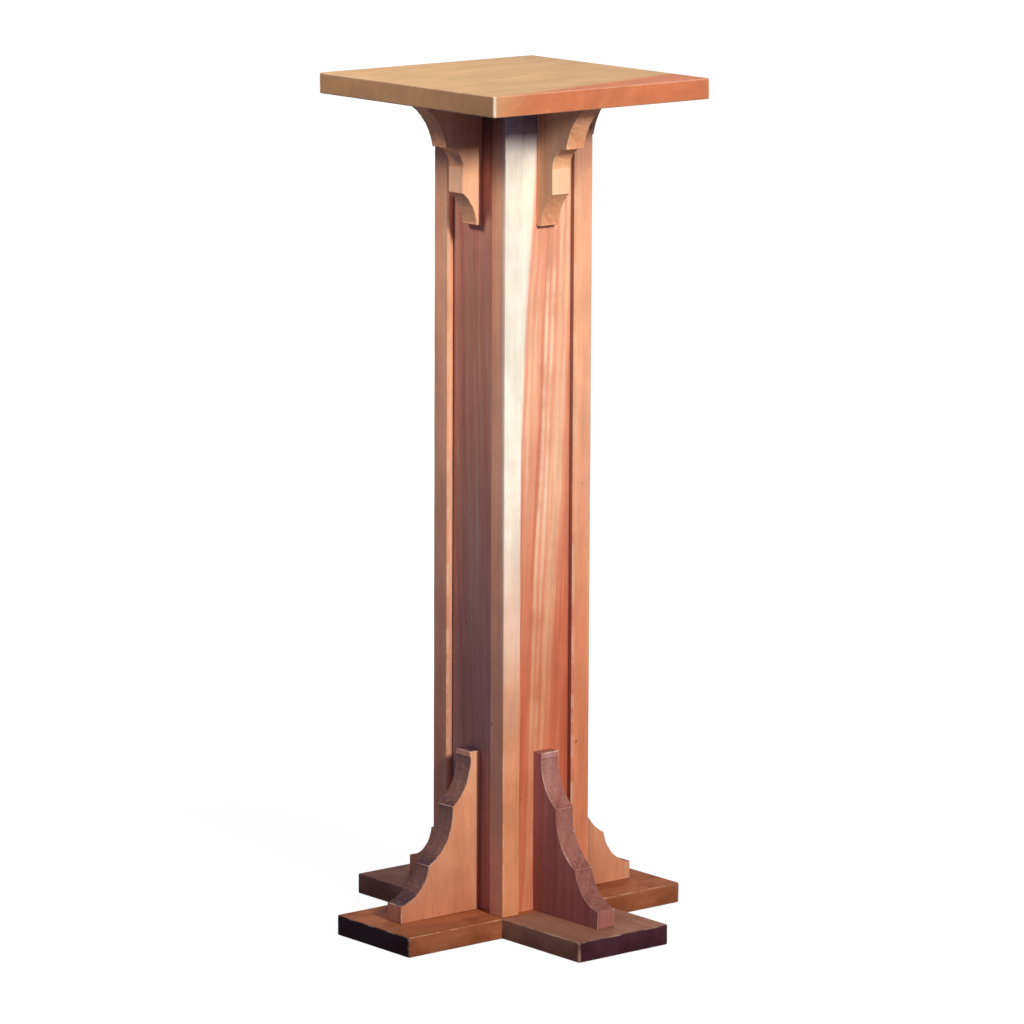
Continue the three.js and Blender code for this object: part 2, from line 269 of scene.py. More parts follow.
@dataclass(frozen=True)
class Unevenness:
    """Small hand-worked irregularity of a surface, cut into it and never standing proud.

    Attributes:
        depth: Greatest depth.
        waves: Wavelength along X, Y and Z.
        seed: Picks the waves' directions and phases.
        count: Number of waves.
    """

    depth: float
    waves: Triple
    seed: int
    count: int = 7

    def of_piece(self, number: int) -> "Unevenness":
        """The same unevenness, drawn anew for each piece."""
        return replace(self, seed=self.seed + number)

    def cut_into(self, points: np.ndarray) -> np.ndarray:
        """Depth at each point.

        It is half the depth times one plus the sum of the sine waves over one and a half times
        the root of their count. Each wave has its own phase, and goes up to 1.7 times as fast as
        the wavelengths say and no slower than 0.6 times, or 0.1 times where there are many.

        Args:
            points: Places on the surface.

        Returns:
            Depths from 0 to the greatest one.
        """
        draw = np.random.default_rng(self.seed)
        slowest = 0.6 if self.count < 10 else 0.1
        factors = draw.uniform(slowest, 1.7, (self.count, 3))
        factors *= draw.choice([-1.0, 1.0], (self.count, 3))
        phases = draw.uniform(0.0, 2 * math.pi, self.count)
        angles = points @ (2 * math.pi * factors / np.array(self.waves)).T + phases
        mean = np.clip(np.sin(angles).sum(axis=-1) / (1.5 * math.sqrt(self.count)), -1.0, 1.0)
        return self.depth * (1.0 + mean) / 2


def about(turn: int, place: Sequence[float]) -> Triple:
    """A place or direction turned about the column by quarter turns."""
    return tuple(Matrix.Rotation(math.radians(90 * turn), 3, "Z") @ Vector(place))


@dataclass(frozen=True)
class Placing:
    """Where a carried outline stands: its two plane axes, its path's axis, and its origin."""

    across: Triple
    along: Triple
    path: Triple
    origin: Triple = (0.0, 0.0, 0.0)

    def turned(self, turn: int) -> "Placing":
        """The same placing turned about the column by quarter turns."""
        return Placing(*(about(turn, v) for v in (self.across, self.along, self.path, self.origin)))

    def apply(self, local: np.ndarray) -> np.ndarray:
        """Local coordinates as places in the stand's frame."""
        return local @ np.array([self.across, self.along, self.path]) + np.array(self.origin)


UPRIGHT = Placing((1.0, 0.0, 0.0), (0.0, 1.0, 0.0), (0.0, 0.0, 1.0))


def unit_circle(sides: int) -> np.ndarray:
    """Points of a circle of radius one, counter-clockwise."""
    angle = np.linspace(0.0, 2 * math.pi, sides, endpoint=False)
    return np.stack([np.cos(angle), np.sin(angle)], axis=1)


def ring_quads(rows: int, count: int) -> np.ndarray:
    """Four-sided faces between rows of points, each row closed on itself.

    Face i of row j joins points i and i + 1 of the row to the same two of the next row.

    Args:
        rows: Number of rows.
        count: Points in each row.

    Returns:
        Four point numbers for each face.
    """
    index = np.arange(rows * count).reshape(rows, count)
    here, there = index[:-1], index[1:]
    faces = np.stack([here, np.roll(here, -1, 1), np.roll(there, -1, 1), there], axis=-1)
    return faces.reshape(-1, 4)


def closed_mesh(name: str, grid: np.ndarray) -> bpy.types.Mesh:
    """Joins rows of points into a tube whose ends are closed by one flat face each.

    Args:
        name: Name of the mesh.
        grid: Points by row and place in the row, counter-clockwise seen from the last row.

    Returns:
        The mesh, its two end faces last.
    """
    rows, count = grid.shape[:2]
    row = np.arange(count)
    ends = [row[::-1].tolist(), (row + (rows - 1) * count).tolist()]
    mesh = bpy.data.meshes.new(name)
    mesh.from_pydata(grid.reshape(-1, 3).tolist(), [], ring_quads(rows, count).tolist() + ends)
    return mesh


def carried_mesh(
    name: str,
    outline: Outline,
    levels: Levels,
    placing: Placing,
    planed: Unevenness,
    sawn: Unevenness | None = None,
    seam: np.ndarray | None = None,
    end_wear_and_highlight: float = 1.0,
) -> bpy.types.Mesh:
    """Carries an outline along a straight path into one closed mesh.

    The point of row j and outline place i is the outline's point, drawn in along its normal
    by the row's inset times the point's easing, at the row's height. Planing and sawing then
    cut it further in along the same normal.

    Args:
        name: Name of the mesh.
        outline: The section.
        levels: The rows.
        placing: Where the section's plane and path lie.
        planed: Unevenness of the planed faces.
        sawn: Unevenness of the sawn faces.
        seam: How dark the joint beside each place of the outline is painted: partly soiling, partly
            painted shade in the corner.
        end_wear_and_highlight: How strongly the arrises round the two ends are painted paler, for
            abrasion and highlight.

    Returns:
        The mesh, with the point attributes "worn", which is 1 along eased arrises, and, where
        they are given, "sawn" and "seam".
    """
    inner = levels.inner[:, None]
    inset = levels.inset[:, None] * outline.eased
    flat = outline.points - outline.normals * inset[..., None]
    height = np.broadcast_to(levels.height[:, None, None], (*inset.shape, 1))
    rest = placing.apply(np.concatenate([flat, height], axis=2))
    depth = planed.cut_into(rest)
    if sawn is not None:
        depth = depth + sawn.cut_into(rest) * outline.sawn
    flat = flat - outline.normals * (depth * inner)[..., None]
    mesh = closed_mesh(name, placing.apply(np.concatenate([flat, height], axis=2)))
    faces = len(mesh.polygons)
    mesh.polygons.foreach_set("use_smooth", np.arange(faces) < faces - 2)

    round_ends = levels.worn_and_lit[:, None] * outline.eased * end_wear_and_highlight
    marks = {"worn_and_lit": np.maximum(round_ends, outline.worn_and_lit * inner)}
    if sawn is not None:
        marks["sawn"] = outline.sawn * inner
    if seam is not None:
        marks["seam"] = np.broadcast_to(seam, inset.shape)
    for label, values in marks.items():
        attribute = mesh.attributes.new(label, "FLOAT", "POINT")
        attribute.data.foreach_set("value", values.astype(np.float32).ravel())
    return tidied(mesh)


def tidied(mesh: bpy.types.Mesh) -> bpy.types.Mesh:
    """Merges points that fall together and drops faces without area.

    Args:
        mesh: The mesh to clean.

    Returns:
        The same mesh.
    """
    work = bmesh.new()
    work.from_mesh(mesh)
    bmesh.ops.remove_doubles(work, verts=work.verts, dist=MERGE_DISTANCE)
    bmesh.ops.dissolve_degenerate(work, edges=work.edges, dist=MERGE_DISTANCE)
    work.to_mesh(mesh)
    work.free()
    mesh.set_sharp_from_angle(angle=CRISP_ANGLE)
    return mesh


@dataclass(frozen=True)
class Bore:
    """A round hole to be cut.

    Attributes:
        profile: Pairs of radius and height along its axis, from one end to the other.
        start: Where the axis starts.
        direction: Where the axis points.
    """

    profile: tuple[tuple[float, float], ...]
    start: Triple
    direction: Triple = (0.0, 0.0, 1.0)

    def cutter(self, sides: int = 24) -> bpy.types.Mesh:
        """Turns the profile about the axis into a closed mesh.

        Each row is a circle of the profile's radius at its height, in the plane across the axis.

        Args:
            sides: Points in each circle.

        Returns:
            The mesh, its two ends closed by flat faces.
        """
        profile = np.array(self.profile)
        flat = profile[:, 0, None, None] * unit_circle(sides)
        height = np.broadcast_to(profile[:, 1, None, None], (len(profile), sides, 1))
        axes = np.array(Vector(self.direction).to_track_quat("Z", "Y").to_matrix()).T
        points = np.concatenate([flat, height], axis=2) @ axes + np.array(self.start)
        return closed_mesh("bore", points)


def cut_from(piece: bpy.types.Object, cutter: bpy.types.Mesh) -> None:
    """Cuts a closed mesh out of a piece for good.

    Args:
        piece: The piece, whose mesh is replaced by the cut one.
        cutter: What is taken away; it is removed afterwards.
    """
    tool = bpy.data.objects.new("cutter", cutter)
    bpy.context.scene.collection.objects.link(tool)
    boolean = piece.modifiers.new("cut", "BOOLEAN")
    boolean.operation, boolean.solver, boolean.object = "DIFFERENCE", "EXACT", tool
    bpy.context.view_layer.update()
    evaluated = piece.evaluated_get(bpy.context.evaluated_depsgraph_get())
    cut = bpy.data.meshes.new_from_object(evaluated)
    piece.modifiers.clear()
    old, piece.data = piece.data, cut
    cut.name = piece.name
    bpy.data.objects.remove(tool)
    bpy.data.meshes.remove(old)
    bpy.data.meshes.remove(cutter)
    cut.set_sharp_from_angle(angle=CRISP_ANGLE)


def stood_in(
    node: str,
    mesh: bpy.types.Mesh,
    material: bpy.types.Material,
    cutters: Sequence[bpy.types.Mesh] = (),
) -> bpy.types.Object:
    """Makes a finished piece that stands for a CAD node.

    Args:
        node: The node's name.
        mesh: The piece's mesh, in place.
        material: Its finish.
        cutters: Closed meshes that are cut out of it, in order.

    Returns:
        The piece, named after the node.
    """
    piece = bpy.data.objects.new(f"{node}_dressed", mesh)
    bpy.context.scene.collection.objects.link(piece)
    mesh.name = piece.name
    mesh.materials.append(material)
    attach(piece, BODY)
    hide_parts(node)
    for cutter in cutters:
        cut_from(piece, cutter)
    return piece


# ---------------------------------------------------------------- shader nodes


Socket = bpy.types.NodeSocket
Sockets = bpy.types.bpy_prop_collection
Source = Socket | float | tuple | Euler


def linear(colour: str) -> tuple[float, float, float, float]:
    """A colour written as RRGGBB, as the linear numbers that a socket takes.

    Args:
        colour: Six hexadecimal digits.

    Returns:
        Red, green, blue and alpha.
    """
    parts = [int(colour[k : k + 2], 16) / 255 for k in (0, 2, 4)]
    return tuple(c / 12.92 if c <= 0.04045 else ((c + 0.055) / 1.055) ** 2.4 for c in parts) + (1.0,)


@dataclass
class Sheet:
    """A node tree with short calls for the nodes that the finishes use."""

    tree: bpy.types.NodeTree

    def node(self, kind: str, *sources: Source, **settings: object) -> bpy.types.Node:
        """Adds a node.

        Args:
            kind: Blender's name for it.
            sources: What its inputs take, from the first one on.
            settings: Its properties.

        Returns:
            The node.
        """
        made = self.tree.nodes.new(kind)
        for name, value in settings.items():
            setattr(made, name, value)
        for socket, source in zip(made.inputs, sources):
            self.feed(socket, source)
        return made

    def feed(self, socket: Socket, source: Source) -> None:
        """Links a source to a socket, or writes a plain value on it.

        Args:
            socket: The socket that takes it.
            source: Another node's output, or the value.
        """
        if isinstance(source, Socket):
            self.tree.links.new(source, socket)
        else:
            socket.default_value = source

    def feed_all(self, sockets: Sockets, sources: dict[str, Source]) -> None:
        """Feeds sockets by name.

        Args:
            sockets: The inputs of a node.
            sources: What they take.
        """
        for name, source in sources.items():
            self.feed(sockets[name], source)

    def math(self, operation: str, *sources: Source, clamp: bool = False) -> Socket:
        """The result of a Math node."""
        return self.node("ShaderNodeMath", *sources, operation=operation, use_clamp=clamp).outputs[0]

    def times(self, first: Source, second: Source) -> Socket:
        """Two numbers multiplied."""
        return self.math("MULTIPLY", first, second)

    def total(self, base: Source, *parts: tuple[Source, float]) -> Source:
        """A base number plus each part times its weight.

        Args:
            base: The base number.
            parts: Pairs of a part and its weight.

        Returns:
            The sum.
        """
        for part, weight in parts:
            base = self.math("MULTIPLY_ADD", part, weight, base)
        return base

    def vector(self, operation: str, *sources: Source) -> Socket:
        """The result of a Vector Math node that gives a vector."""
        return self.node("ShaderNodeVectorMath", *sources, operation=operation).outputs["Vector"]

    def scalar(self, operation: str, *sources: Source) -> Socket:
        """The result of a Vector Math node that gives a number."""
        return self.node("ShaderNodeVectorMath", *sources, operation=operation).outputs["Value"]

    def height_of(self, place: Source) -> Socket:
        """The Z coordinate of a place."""
        return self.node("ShaderNodeSeparateXYZ", place).outputs["Z"]

    def step(
        self, value: Source, low: Source, high: Source, to_low: Source = 0.0, to_high: Source = 1.0
    ) -> Socket:
        """A smooth step of a value.

        Args:
            value: The value.
            low: Where the step starts.
            high: Where it ends.
            to_low: Result before the start.
            to_high: Result after the end.

        Returns:
            The result.
        """
        sources = (value, low, high, to_low, to_high)
        return self.node("ShaderNodeMapRange", *sources, interpolation_type="SMOOTHSTEP").outputs[0]

    def noise(
        self, place: Source, scale: float, detail: float = 2.0, rough: float = 0.5, output: str = "Fac"
    ) -> Socket:
        """A noise in three dimensions.

        Args:
            place: Where it is read.
            scale: Its scale, per metre.
            detail: Number of finer layers.
            rough: Strength of each layer against the one before.
            output: "Fac" for a number or "Color" for three.

        Returns:
            That output.
        """
        made = self.node("ShaderNodeTexNoise")
        sources = {"Vector": place, "Scale": scale, "Detail": detail, "Roughness": rough}
        self.feed_all(made.inputs, sources)
        return made.outputs[output]

    def stretched_noise(
        self, place: Source, stretch: Triple, scale: float, detail: float, rough: float
    ) -> Socket:
        """A noise that is drawn out along an axis whose factor is small.

        Args:
            place: Where it is read.
            stretch: Factor along each axis.
            scale: Its scale, per metre.
            detail: Number of finer layers.
            rough: Strength of each layer against the one before.

        Returns:
            The noise, from 0 to 1.
        """
        return self.noise(self.vector("MULTIPLY", place, stretch), scale, detail, rough)

    def blend(self, share: Source, first: Source, second: Source, kind: str = "MIX") -> Socket:
        """Two colours mixed.

        Args:
            share: Share of the second colour.
            first: The first colour.
            second: The second colour.
            kind: How the second acts on the first.

        Returns:
            The mixed colour.
        """
        made = self.node("ShaderNodeMix", data_type="RGBA", blend_type=kind)
        inputs = {socket.identifier: socket for socket in made.inputs}
        for name, source in (("Factor_Float", share), ("A_Color", first), ("B_Color", second)):
            self.feed(inputs[name], source)
        return next(s for s in made.outputs if s.identifier == "Result_Color")

    def tinted(self, colour: Source, tint: Source, share: Source = 1.0) -> Socket:
        """A colour multiplied by another, as far as the share says."""
        return self.blend(share, colour, tint, "MULTIPLY")

    def grey(self, value: Socket) -> Socket:
        """A value as a grey colour."""
        return self.node("ShaderNodeCombineColor", value, value, value).outputs[0]

    def mark(self, name: str) -> Socket:
        """A number that the mesh carries for each point, or 0 on a mesh without it."""
        return self.node("ShaderNodeAttribute", attribute_name=name).outputs["Fac"]

    def group(self, tree: bpy.types.NodeTree, **sources: Source) -> Sockets:
        """Places a node group.

        Args:
            tree: The group.
            sources: What its inputs take, by name, with underscores for spaces.

        Returns:
            Its outputs.
        """
        made = self.node("ShaderNodeGroup", node_tree=tree)
        self.feed_all(made.inputs, {name.replace("_", " "): given for name, given in sources.items()})
        return made.outputs


def new_group(
    name: str, inputs: dict[str, float | None], outputs: Sequence[str]
) -> tuple[Sheet, Sockets, Sockets]:
    """Starts a shader node group whose outputs are numbers.

    Args:
        name: The group's name.
        inputs: Names of its inputs, with a number's default value, or None for a vector.
        outputs: Names of its outputs.

    Returns:
        The sheet to work on, the sockets that give the inputs, and those that take the outputs.
    """
    tree = bpy.data.node_groups.new(name, "ShaderNodeTree")
    for label, value in inputs.items():
        kind = "NodeSocketVector" if value is None else "NodeSocketFloat"
        socket = tree.interface.new_socket(label, in_out="INPUT", socket_type=kind)
        if value is not None:
            socket.default_value = value
    for label in outputs:
        tree.interface.new_socket(label, in_out="OUTPUT", socket_type="NodeSocketFloat")
    sheet = Sheet(tree)
    return sheet, sheet.node("NodeGroupInput").outputs, sheet.node("NodeGroupOutput").inputs


OUT_OF_REACH = 9.0  # a distance from the pith that no piece of the stand has
STREAK_EDGE, STREAK_CORE = 3.6 * MM, 0.4 * MM  # off a streak's middle, where it ends and is full
TOP_SHADOW_START, TOP_SHADOW_FULL = 0.79, 0.885  # heights between which the painted shadow under the top board comes in
GRIME_AND_SHADE_STRAY, TOP_SHADOW_STRAY = 0.16, 0.05  # how much height the clouds take from edge to edge


def wood_figure() -> bpy.types.NodeTree:
    """The figure of sawn wood, in a board's own coordinates with the grain along Z.

    Growth rings are distances from the pith, the Z axis, pushed about by a slow noise that is
    drawn out along the grain. A noise over the ring number, which changes slowly along the
    grain, gives each band its tone. Latewood is a thin line at the end of each ring, and
    fibres and pores are fine noises drawn out along the grain. Sapwood is what lies further
    from the pith than the sap radius, and a streak is a thin shell at a given distance from
    it. Mottle adds a cloudy noise and one that is drawn out across the grain, and pin knots
    are small balls round scattered points.

    Returns:
        The group, whose outputs all run from 0 to 1.
    """
    sheet, given, result = new_group(
        "wood_figure",
        {
            "Position": None,
            "Ring Width": 0.006,
            "Wander": 0.01,
            "Sap Radius": OUT_OF_REACH,
            "Sap Edge": 0.004,
            "First Streak": OUT_OF_REACH,
            "Second Streak": OUT_OF_REACH,
        },
        ("Tone", "Latewood", "Fibre", "Pore", "Sap", "Streak", "Mottle", "Knot"),
    )
    place = given["Position"]
    long = sheet.vector("MULTIPLY", place, (1.0, 1.0, 0.15))
    drift = sheet.vector("SUBTRACT", sheet.noise(long, scale=13.0, output="Color"), (0.5, 0.5, 0.5))
    strayed = sheet.node("ShaderNodeVectorMath", operation="SCALE")
    sheet.feed_all(strayed.inputs, {"Vector": drift, "Scale": given["Wander"]})
    moved = sheet.vector("ADD", place, strayed.outputs["Vector"])
    from_pith = sheet.scalar("LENGTH", sheet.vector("MULTIPLY", moved, (1.0, 1.0, 0.0)))
    rings = sheet.math("DIVIDE", from_pith, given["Ring Width"])
    ring = sheet.total(rings, (sheet.noise(long, scale=120.0, detail=3.0), 0.35))
    slow = sheet.times(sheet.height_of(place), 2.2)
    band = sheet.node("ShaderNodeCombineXYZ", ring, 0.0, slow).outputs[0]
    within = sheet.math("FRACT", ring)
    beyond = sheet.math("SUBTRACT", from_pith, given["Sap Radius"])
    streaks = [
        sheet.math("ABSOLUTE", sheet.math("SUBTRACT", from_pith, given[name]))
        for name in ("First Streak", "Second Streak")
    ]
    fibre = sheet.stretched_noise(place, (1.0, 1.0, 0.018), scale=900.0, detail=3.0, rough=0.6)
    pore = sheet.stretched_noise(place, (1.0, 1.0, 0.07), scale=850.0, detail=1.0, rough=0.4)
    cloud = sheet.stretched_noise(place, (1.0, 1.0, 0.35), scale=26.0, detail=4.0, rough=0.6)
    curl = sheet.stretched_noise(place, (0.55, 0.55, 1.0), scale=38.0, detail=3.0, rough=0.55)
    cells = sheet.node("ShaderNodeTexVoronoi")
    sheet.feed_all(cells.inputs, {"Vector": place, "Scale": 19.0})
    outputs = {
        "Tone": sheet.step(sheet.noise(band, scale=0.6, detail=5.0, rough=0.62), 0.3, 0.7),
        "Latewood": sheet.times(sheet.step(within, 0.45, 0.9), sheet.step(within, 1.0, 0.94)),
        "Fibre": sheet.step(fibre, 0.25, 0.75),
        "Pore": sheet.step(pore, 0.66, 0.76),
        "Sap": sheet.step(sheet.math("DIVIDE", beyond, given["Sap Edge"]), -1.0, 1.0),
        "Streak": sheet.math(
            "MAXIMUM", *(sheet.step(off, STREAK_EDGE, STREAK_CORE) for off in streaks)
        ),
        "Mottle": sheet.step(sheet.total(0.0, (cloud, 0.75), (curl, 0.25)), 0.3, 0.7),
        "Knot": sheet.step(cells.outputs["Distance"], 0.042, 0.02),
    }
    sheet.feed_all(result, outputs)
    return sheet.tree


def end_grain() -> bpy.types.NodeTree:
    """Where the surface cuts across the fibres.

    The mask is a smooth step of the cosine between the surface's normal and the grain.

    Returns:
        The group: Mask from 0 on long grain to 1 on end grain.
    """
    sheet, given, result = new_group("end_grain", {"Normal": None, "Grain": None}, ("Mask",))
    cosine = sheet.scalar("DOT_PRODUCT", given["Normal"], given["Grain"])
    sheet.feed(result["Mask"], sheet.step(sheet.math("ABSOLUTE", cosine), 0.2, 0.9))
    return sheet.tree


def rubbed_and_lit_arris() -> bpy.types.NodeTree:
    """Where the eased arrises are painted paler: finish that hands and cloths took off, and painted
    highlight.

    The arris attribute is broken up by a noise, so that the paler arrises come and go.

    Returns:
        The group: Mask from 0 to 1.
    """
    sheet, given, result = new_group(
        "rubbed_and_lit_arris", {"Position": None, "Worn": 0.0, "Least": 0.06}, ("Mask",)
    )
    cloud = sheet.noise(given["Position"], scale=42.0, detail=4.0, rough=0.62)
    patches = sheet.step(cloud, 0.44, 0.64, given["Least"], 1.0)
    sheet.feed(result["Mask"], sheet.math("MULTIPLY", given["Worn"], patches, clamp=True))
    return sheet.tree


def floor_grime_and_shade() -> bpy.types.NodeTree:
    """Darkening towards the floor, partly soiling and partly painted shade, and painted shadow under
    the top board.

    The lower mask rises as the height falls from Top to Full, where a cloudy noise lifts or
    lowers the height by up to 80 mm. The painted shadow under the top board rises over the last
    tenth of the column in the same way, by up to 25 mm.

    Returns:
        The group: Mask and TopShadow, each from 0 to 1.
    """
    sheet, given, result = new_group(
        "floor_grime_and_shade", {"Position": None, "Top": 0.5, "Full": 0.0}, ("Mask", "TopShadow")
    )
    height = sheet.height_of(given["Position"])
    cloud = sheet.noise(given["Position"], scale=18.0, detail=4.0, rough=0.6)
    off = sheet.math("SUBTRACT", cloud, 0.5)
    grime_and_shade, top_shadow = (sheet.total(height, (off, stray)) for stray in (GRIME_AND_SHADE_STRAY, TOP_SHADOW_STRAY))
    sheet.feed(result["Mask"], sheet.step(grime_and_shade, given["Top"], given["Full"]))
    sheet.feed(result["TopShadow"], sheet.step(top_shadow, TOP_SHADOW_START, TOP_SHADOW_FULL))
    return sheet.tree


@dataclass
class Groups:
    """The node groups that the wood finishes share."""

    figure: bpy.types.NodeTree = field(default_factory=wood_figure)
    end: bpy.types.NodeTree = field(default_factory=end_grain)
    rubbed_and_lit: bpy.types.NodeTree = field(default_factory=rubbed_and_lit_arris)
    grime_and_shade: bpy.types.NodeTree = field(default_factory=floor_grime_and_shade)


# ---------------------------------------------------------------- finishes


class Grain(Enum):
    """The direction of a piece's grain: the turn that brings it to the pattern's Z axis, and itself."""

    UPRIGHT = ((0.0, 0.0, 0.0), (0.0, 0.0, 1.0))
    ALONG_X = ((0.0, -math.pi / 2, 0.0), (1.0, 0.0, 0.0))
    ALONG_Y = ((math.pi / 2, 0.0, 0.0), (0.0, 1.0, 0.0))

    @property
    def turn(self) -> Matrix:
        """The turn that brings the grain to the pattern's Z axis."""
        return Euler(self.value[0]).to_matrix()

    @property
    def axis(self) -> Triple:
        """The grain's direction in the stand's frame."""
        return self.value[1]


class SmallMark(Enum):
    """Small marks that all the wood finishes share, by colour and strength: pores, pale specks that are
    partly painted glints, knots, and a dark seam that is partly painted shade.
    """

    PORE = ("7A4632", 0.16)
    FLECK_AND_GLINT = ("F0CFC4", 0.13)
    KNOT = ("6A3A2A", 0.7)
    SEAM = ("3A2230", 0.65)

    def over(self, sheet: Sheet, colour: Source, mask: Socket) -> Socket:
        """A colour with the mark on it where the mask is."""
        mark_colour, strength = self.value
        return sheet.blend(sheet.times(mask, strength), colour, linear(mark_colour))


STREAK_COLOUR = "FDE2BE"
# colour of the painted shadow under the top board
TOP_SHADOW_COLOUR = "786E94"
SAWN_AS_END = 0.75  # how far a sawn cove looks like end grain
RELIEF = {"Fibre": 0.35, "Pore": -0.8, "Latewood": 0.3}
RASP_RELIEF = 5.0
RELIEF_DEPTH = 0.12 * MM


@dataclass(frozen=True)
class Board:
    """How one piece was sawn from the log.

    Attributes:
        grain: Direction of its grain.
        pith: Where the log's middle lies from the frame's origin, in the pattern's coordinates.
        tilt: Slope of the grain, in degrees about the pattern's X and Y axes.
        sap_radius: Distance from the pith where the sapwood begins.
        sap_edge: Half the width of its soft edge.
        streaks: Distances from the pith of two pale streaks.
        tint: Colour that the whole piece is multiplied by; on the front panel, the right foot bracket
        and the lower base board it is a painted shade.
        aged_and_shaded: Colour that the wood is multiplied by towards the floor: partly soiling and
            darkened finish, partly painted shade where the light falls off downwards.
        aged_and_shaded_sap: Colour of its sapwood there, likewise partly painted shade.
    """

    grain: Grain
    pith: Triple
    tilt: tuple[float, float] = (0.0, 0.0)
    sap_radius: float = OUT_OF_REACH
    sap_edge: float = 0.004
    streaks: tuple[float, float] = (OUT_OF_REACH, OUT_OF_REACH)
    tint: str = "FFFFFF"
    aged_and_shaded: str = "DCD0CC"
    aged_and_shaded_sap: str = "F6BF96"


@dataclass(frozen=True)
class WoodFinish:
    """Oiled wood in one range of tones.

    Attributes:
        name: What the finish is called.
        pale: Colour of the palest bands.
        body: Colour of most of the wood.
        deep: Colour of the darkest bands and of latewood.
        sap: Colour of sapwood.
        end: Colour that end grain is multiplied by.
        contrast: How far the bands leave the body's colour.
        late: Strength of the latewood lines.
        ring_width: Width of a growth ring.
        wander: How far the rings stray.
        roughness: Roughness of the oiled face.
        grime_and_shade_top: Height under which the wood darkens, partly soiling and partly painted
            shade.
        grime_and_shade_full: Height under which it is darkest.
        gloss: Specular level of the oil.
        mottle: Depth of the cloudy mottling.
        wear_and_highlight: Strength of the paler arrises, partly abraded finish and partly painted
            highlight.
        worn_and_lit: Their colour: bare wood where the finish is off, and painted highlight.
        least_wear_and_highlight: Share of it that no arris goes without.
        top_shadow: Strength of the painted shadow under the top board.
    """

    name: str
    pale: str
    body: str
    deep: str
    sap: str = "FEF8E2"
    end: str = "8A6258"
    contrast: float = 0.7
    late: float = 0.15
    ring_width: float = 0.011
    wander: float = 0.012
    roughness: float = 0.45
    grime_and_shade_top: float = 0.58
    grime_and_shade_full: float = 0.22
    gloss: float = 0.16
    mottle: float = 0.07
    wear_and_highlight: float = 0.5
    worn_and_lit: str = "FBE3C2"
    least_wear_and_highlight: float = 0.06
    top_shadow: float = 0.0

    def material(self, piece: str, board: Board, groups: Groups) -> bpy.types.Material:
        """The finish on one piece.

        Args:
            piece: The piece's name.
            board: How it was sawn.
            groups: The shared node groups.

        Returns:
            The material.
        """
        made, sheet, shader = new_material(f"{self.name}_{piece}")
        place = sheet.node("ShaderNodeTexCoord").outputs
        position = place["Object"]
        figure = sheet.group(
            groups.figure,
            Position=self._in_log(sheet, position, board),
            Ring_Width=self.ring_width,
            Wander=self.wander,
            Sap_Radius=board.sap_radius,
            Sap_Edge=board.sap_edge,
            First_Streak=board.streaks[0],
            Second_Streak=board.streaks[1],
        )
        ends = sheet.group(groups.end, Normal=place["Normal"], Grain=board.grain.axis)["Mask"]
        worn_and_lit = sheet.mark("worn_and_lit")
        rubbed_and_lit = sheet.group(groups.rubbed_and_lit, Position=position, Worn=worn_and_lit, Least=self.least_wear_and_highlight)["Mask"]
        grime_and_shade = sheet.group(groups.grime_and_shade, Position=position, Top=self.grime_and_shade_top, Full=self.grime_and_shade_full)
        sawn = sheet.mark("sawn")
        rasped = sheet.noise(position, scale=330.0, detail=4.0, rough=0.65)
        # pale specks on the sawn coves: partly torn fibres, partly painted glints of the rough saw cut
        flecks_and_glints = sheet.times(sheet.step(rasped, 0.5, 0.68), sawn)

        colour = self._sawn_wood(sheet, figure, grime_and_shade["Mask"], board)
        colour = sheet.tinted(colour, linear(board.tint))
        colour = SmallMark.PORE.over(sheet, colour, figure["Pore"])
        # darker towards the floor: partly soiling, partly painted shade of light that falls off
        # downwards
        colour = sheet.tinted(colour, linear(board.aged_and_shaded), grime_and_shade["Mask"])
        # painted shadow: a cool dark tint over the upper posts and panels under the top board
        colour = sheet.tinted(colour, linear(TOP_SHADOW_COLOUR), sheet.times(grime_and_shade["TopShadow"], self.top_shadow))
        across = sheet.math("MAXIMUM", ends, sheet.times(sawn, SAWN_AS_END))
        colour = sheet.tinted(colour, linear(self.end), across)
        colour = SmallMark.FLECK_AND_GLINT.over(sheet, colour, flecks_and_glints)
        colour = SmallMark.KNOT.over(sheet, colour, figure["Knot"])
        # dark seam in the recess corners: partly soiling, partly painted shade
        colour = SmallMark.SEAM.over(sheet, colour, sheet.mark("seam"))
        # paler arrises: partly abraded finish, partly painted highlight
        colour = sheet.blend(sheet.times(rubbed_and_lit, self.wear_and_highlight), colour, linear(self.worn_and_lit))
        sheet.feed(shader["Base Color"], colour)

        oiled = self.roughness - 0.05
        dull = sheet.total(oiled, (figure["Fibre"], 0.1), (ends, 0.2), (rubbed_and_lit, -0.1))
        sheet.feed(shader["Roughness"], dull)

        relief = [(figure[name], weight) for name, weight in RELIEF.items()]
        height = sheet.total(0.0, *relief, (sheet.times(rasped, sawn), RASP_RELIEF))
        bump = sheet.node("ShaderNodeBump")
        sheet.feed_all(bump.inputs, {"Strength": 0.3, "Distance": RELIEF_DEPTH, "Height": height})
        sheet.feed(shader["Normal"], bump.outputs["Normal"])
        sheet.feed(shader["Specular IOR Level"], self.gloss)
        return made

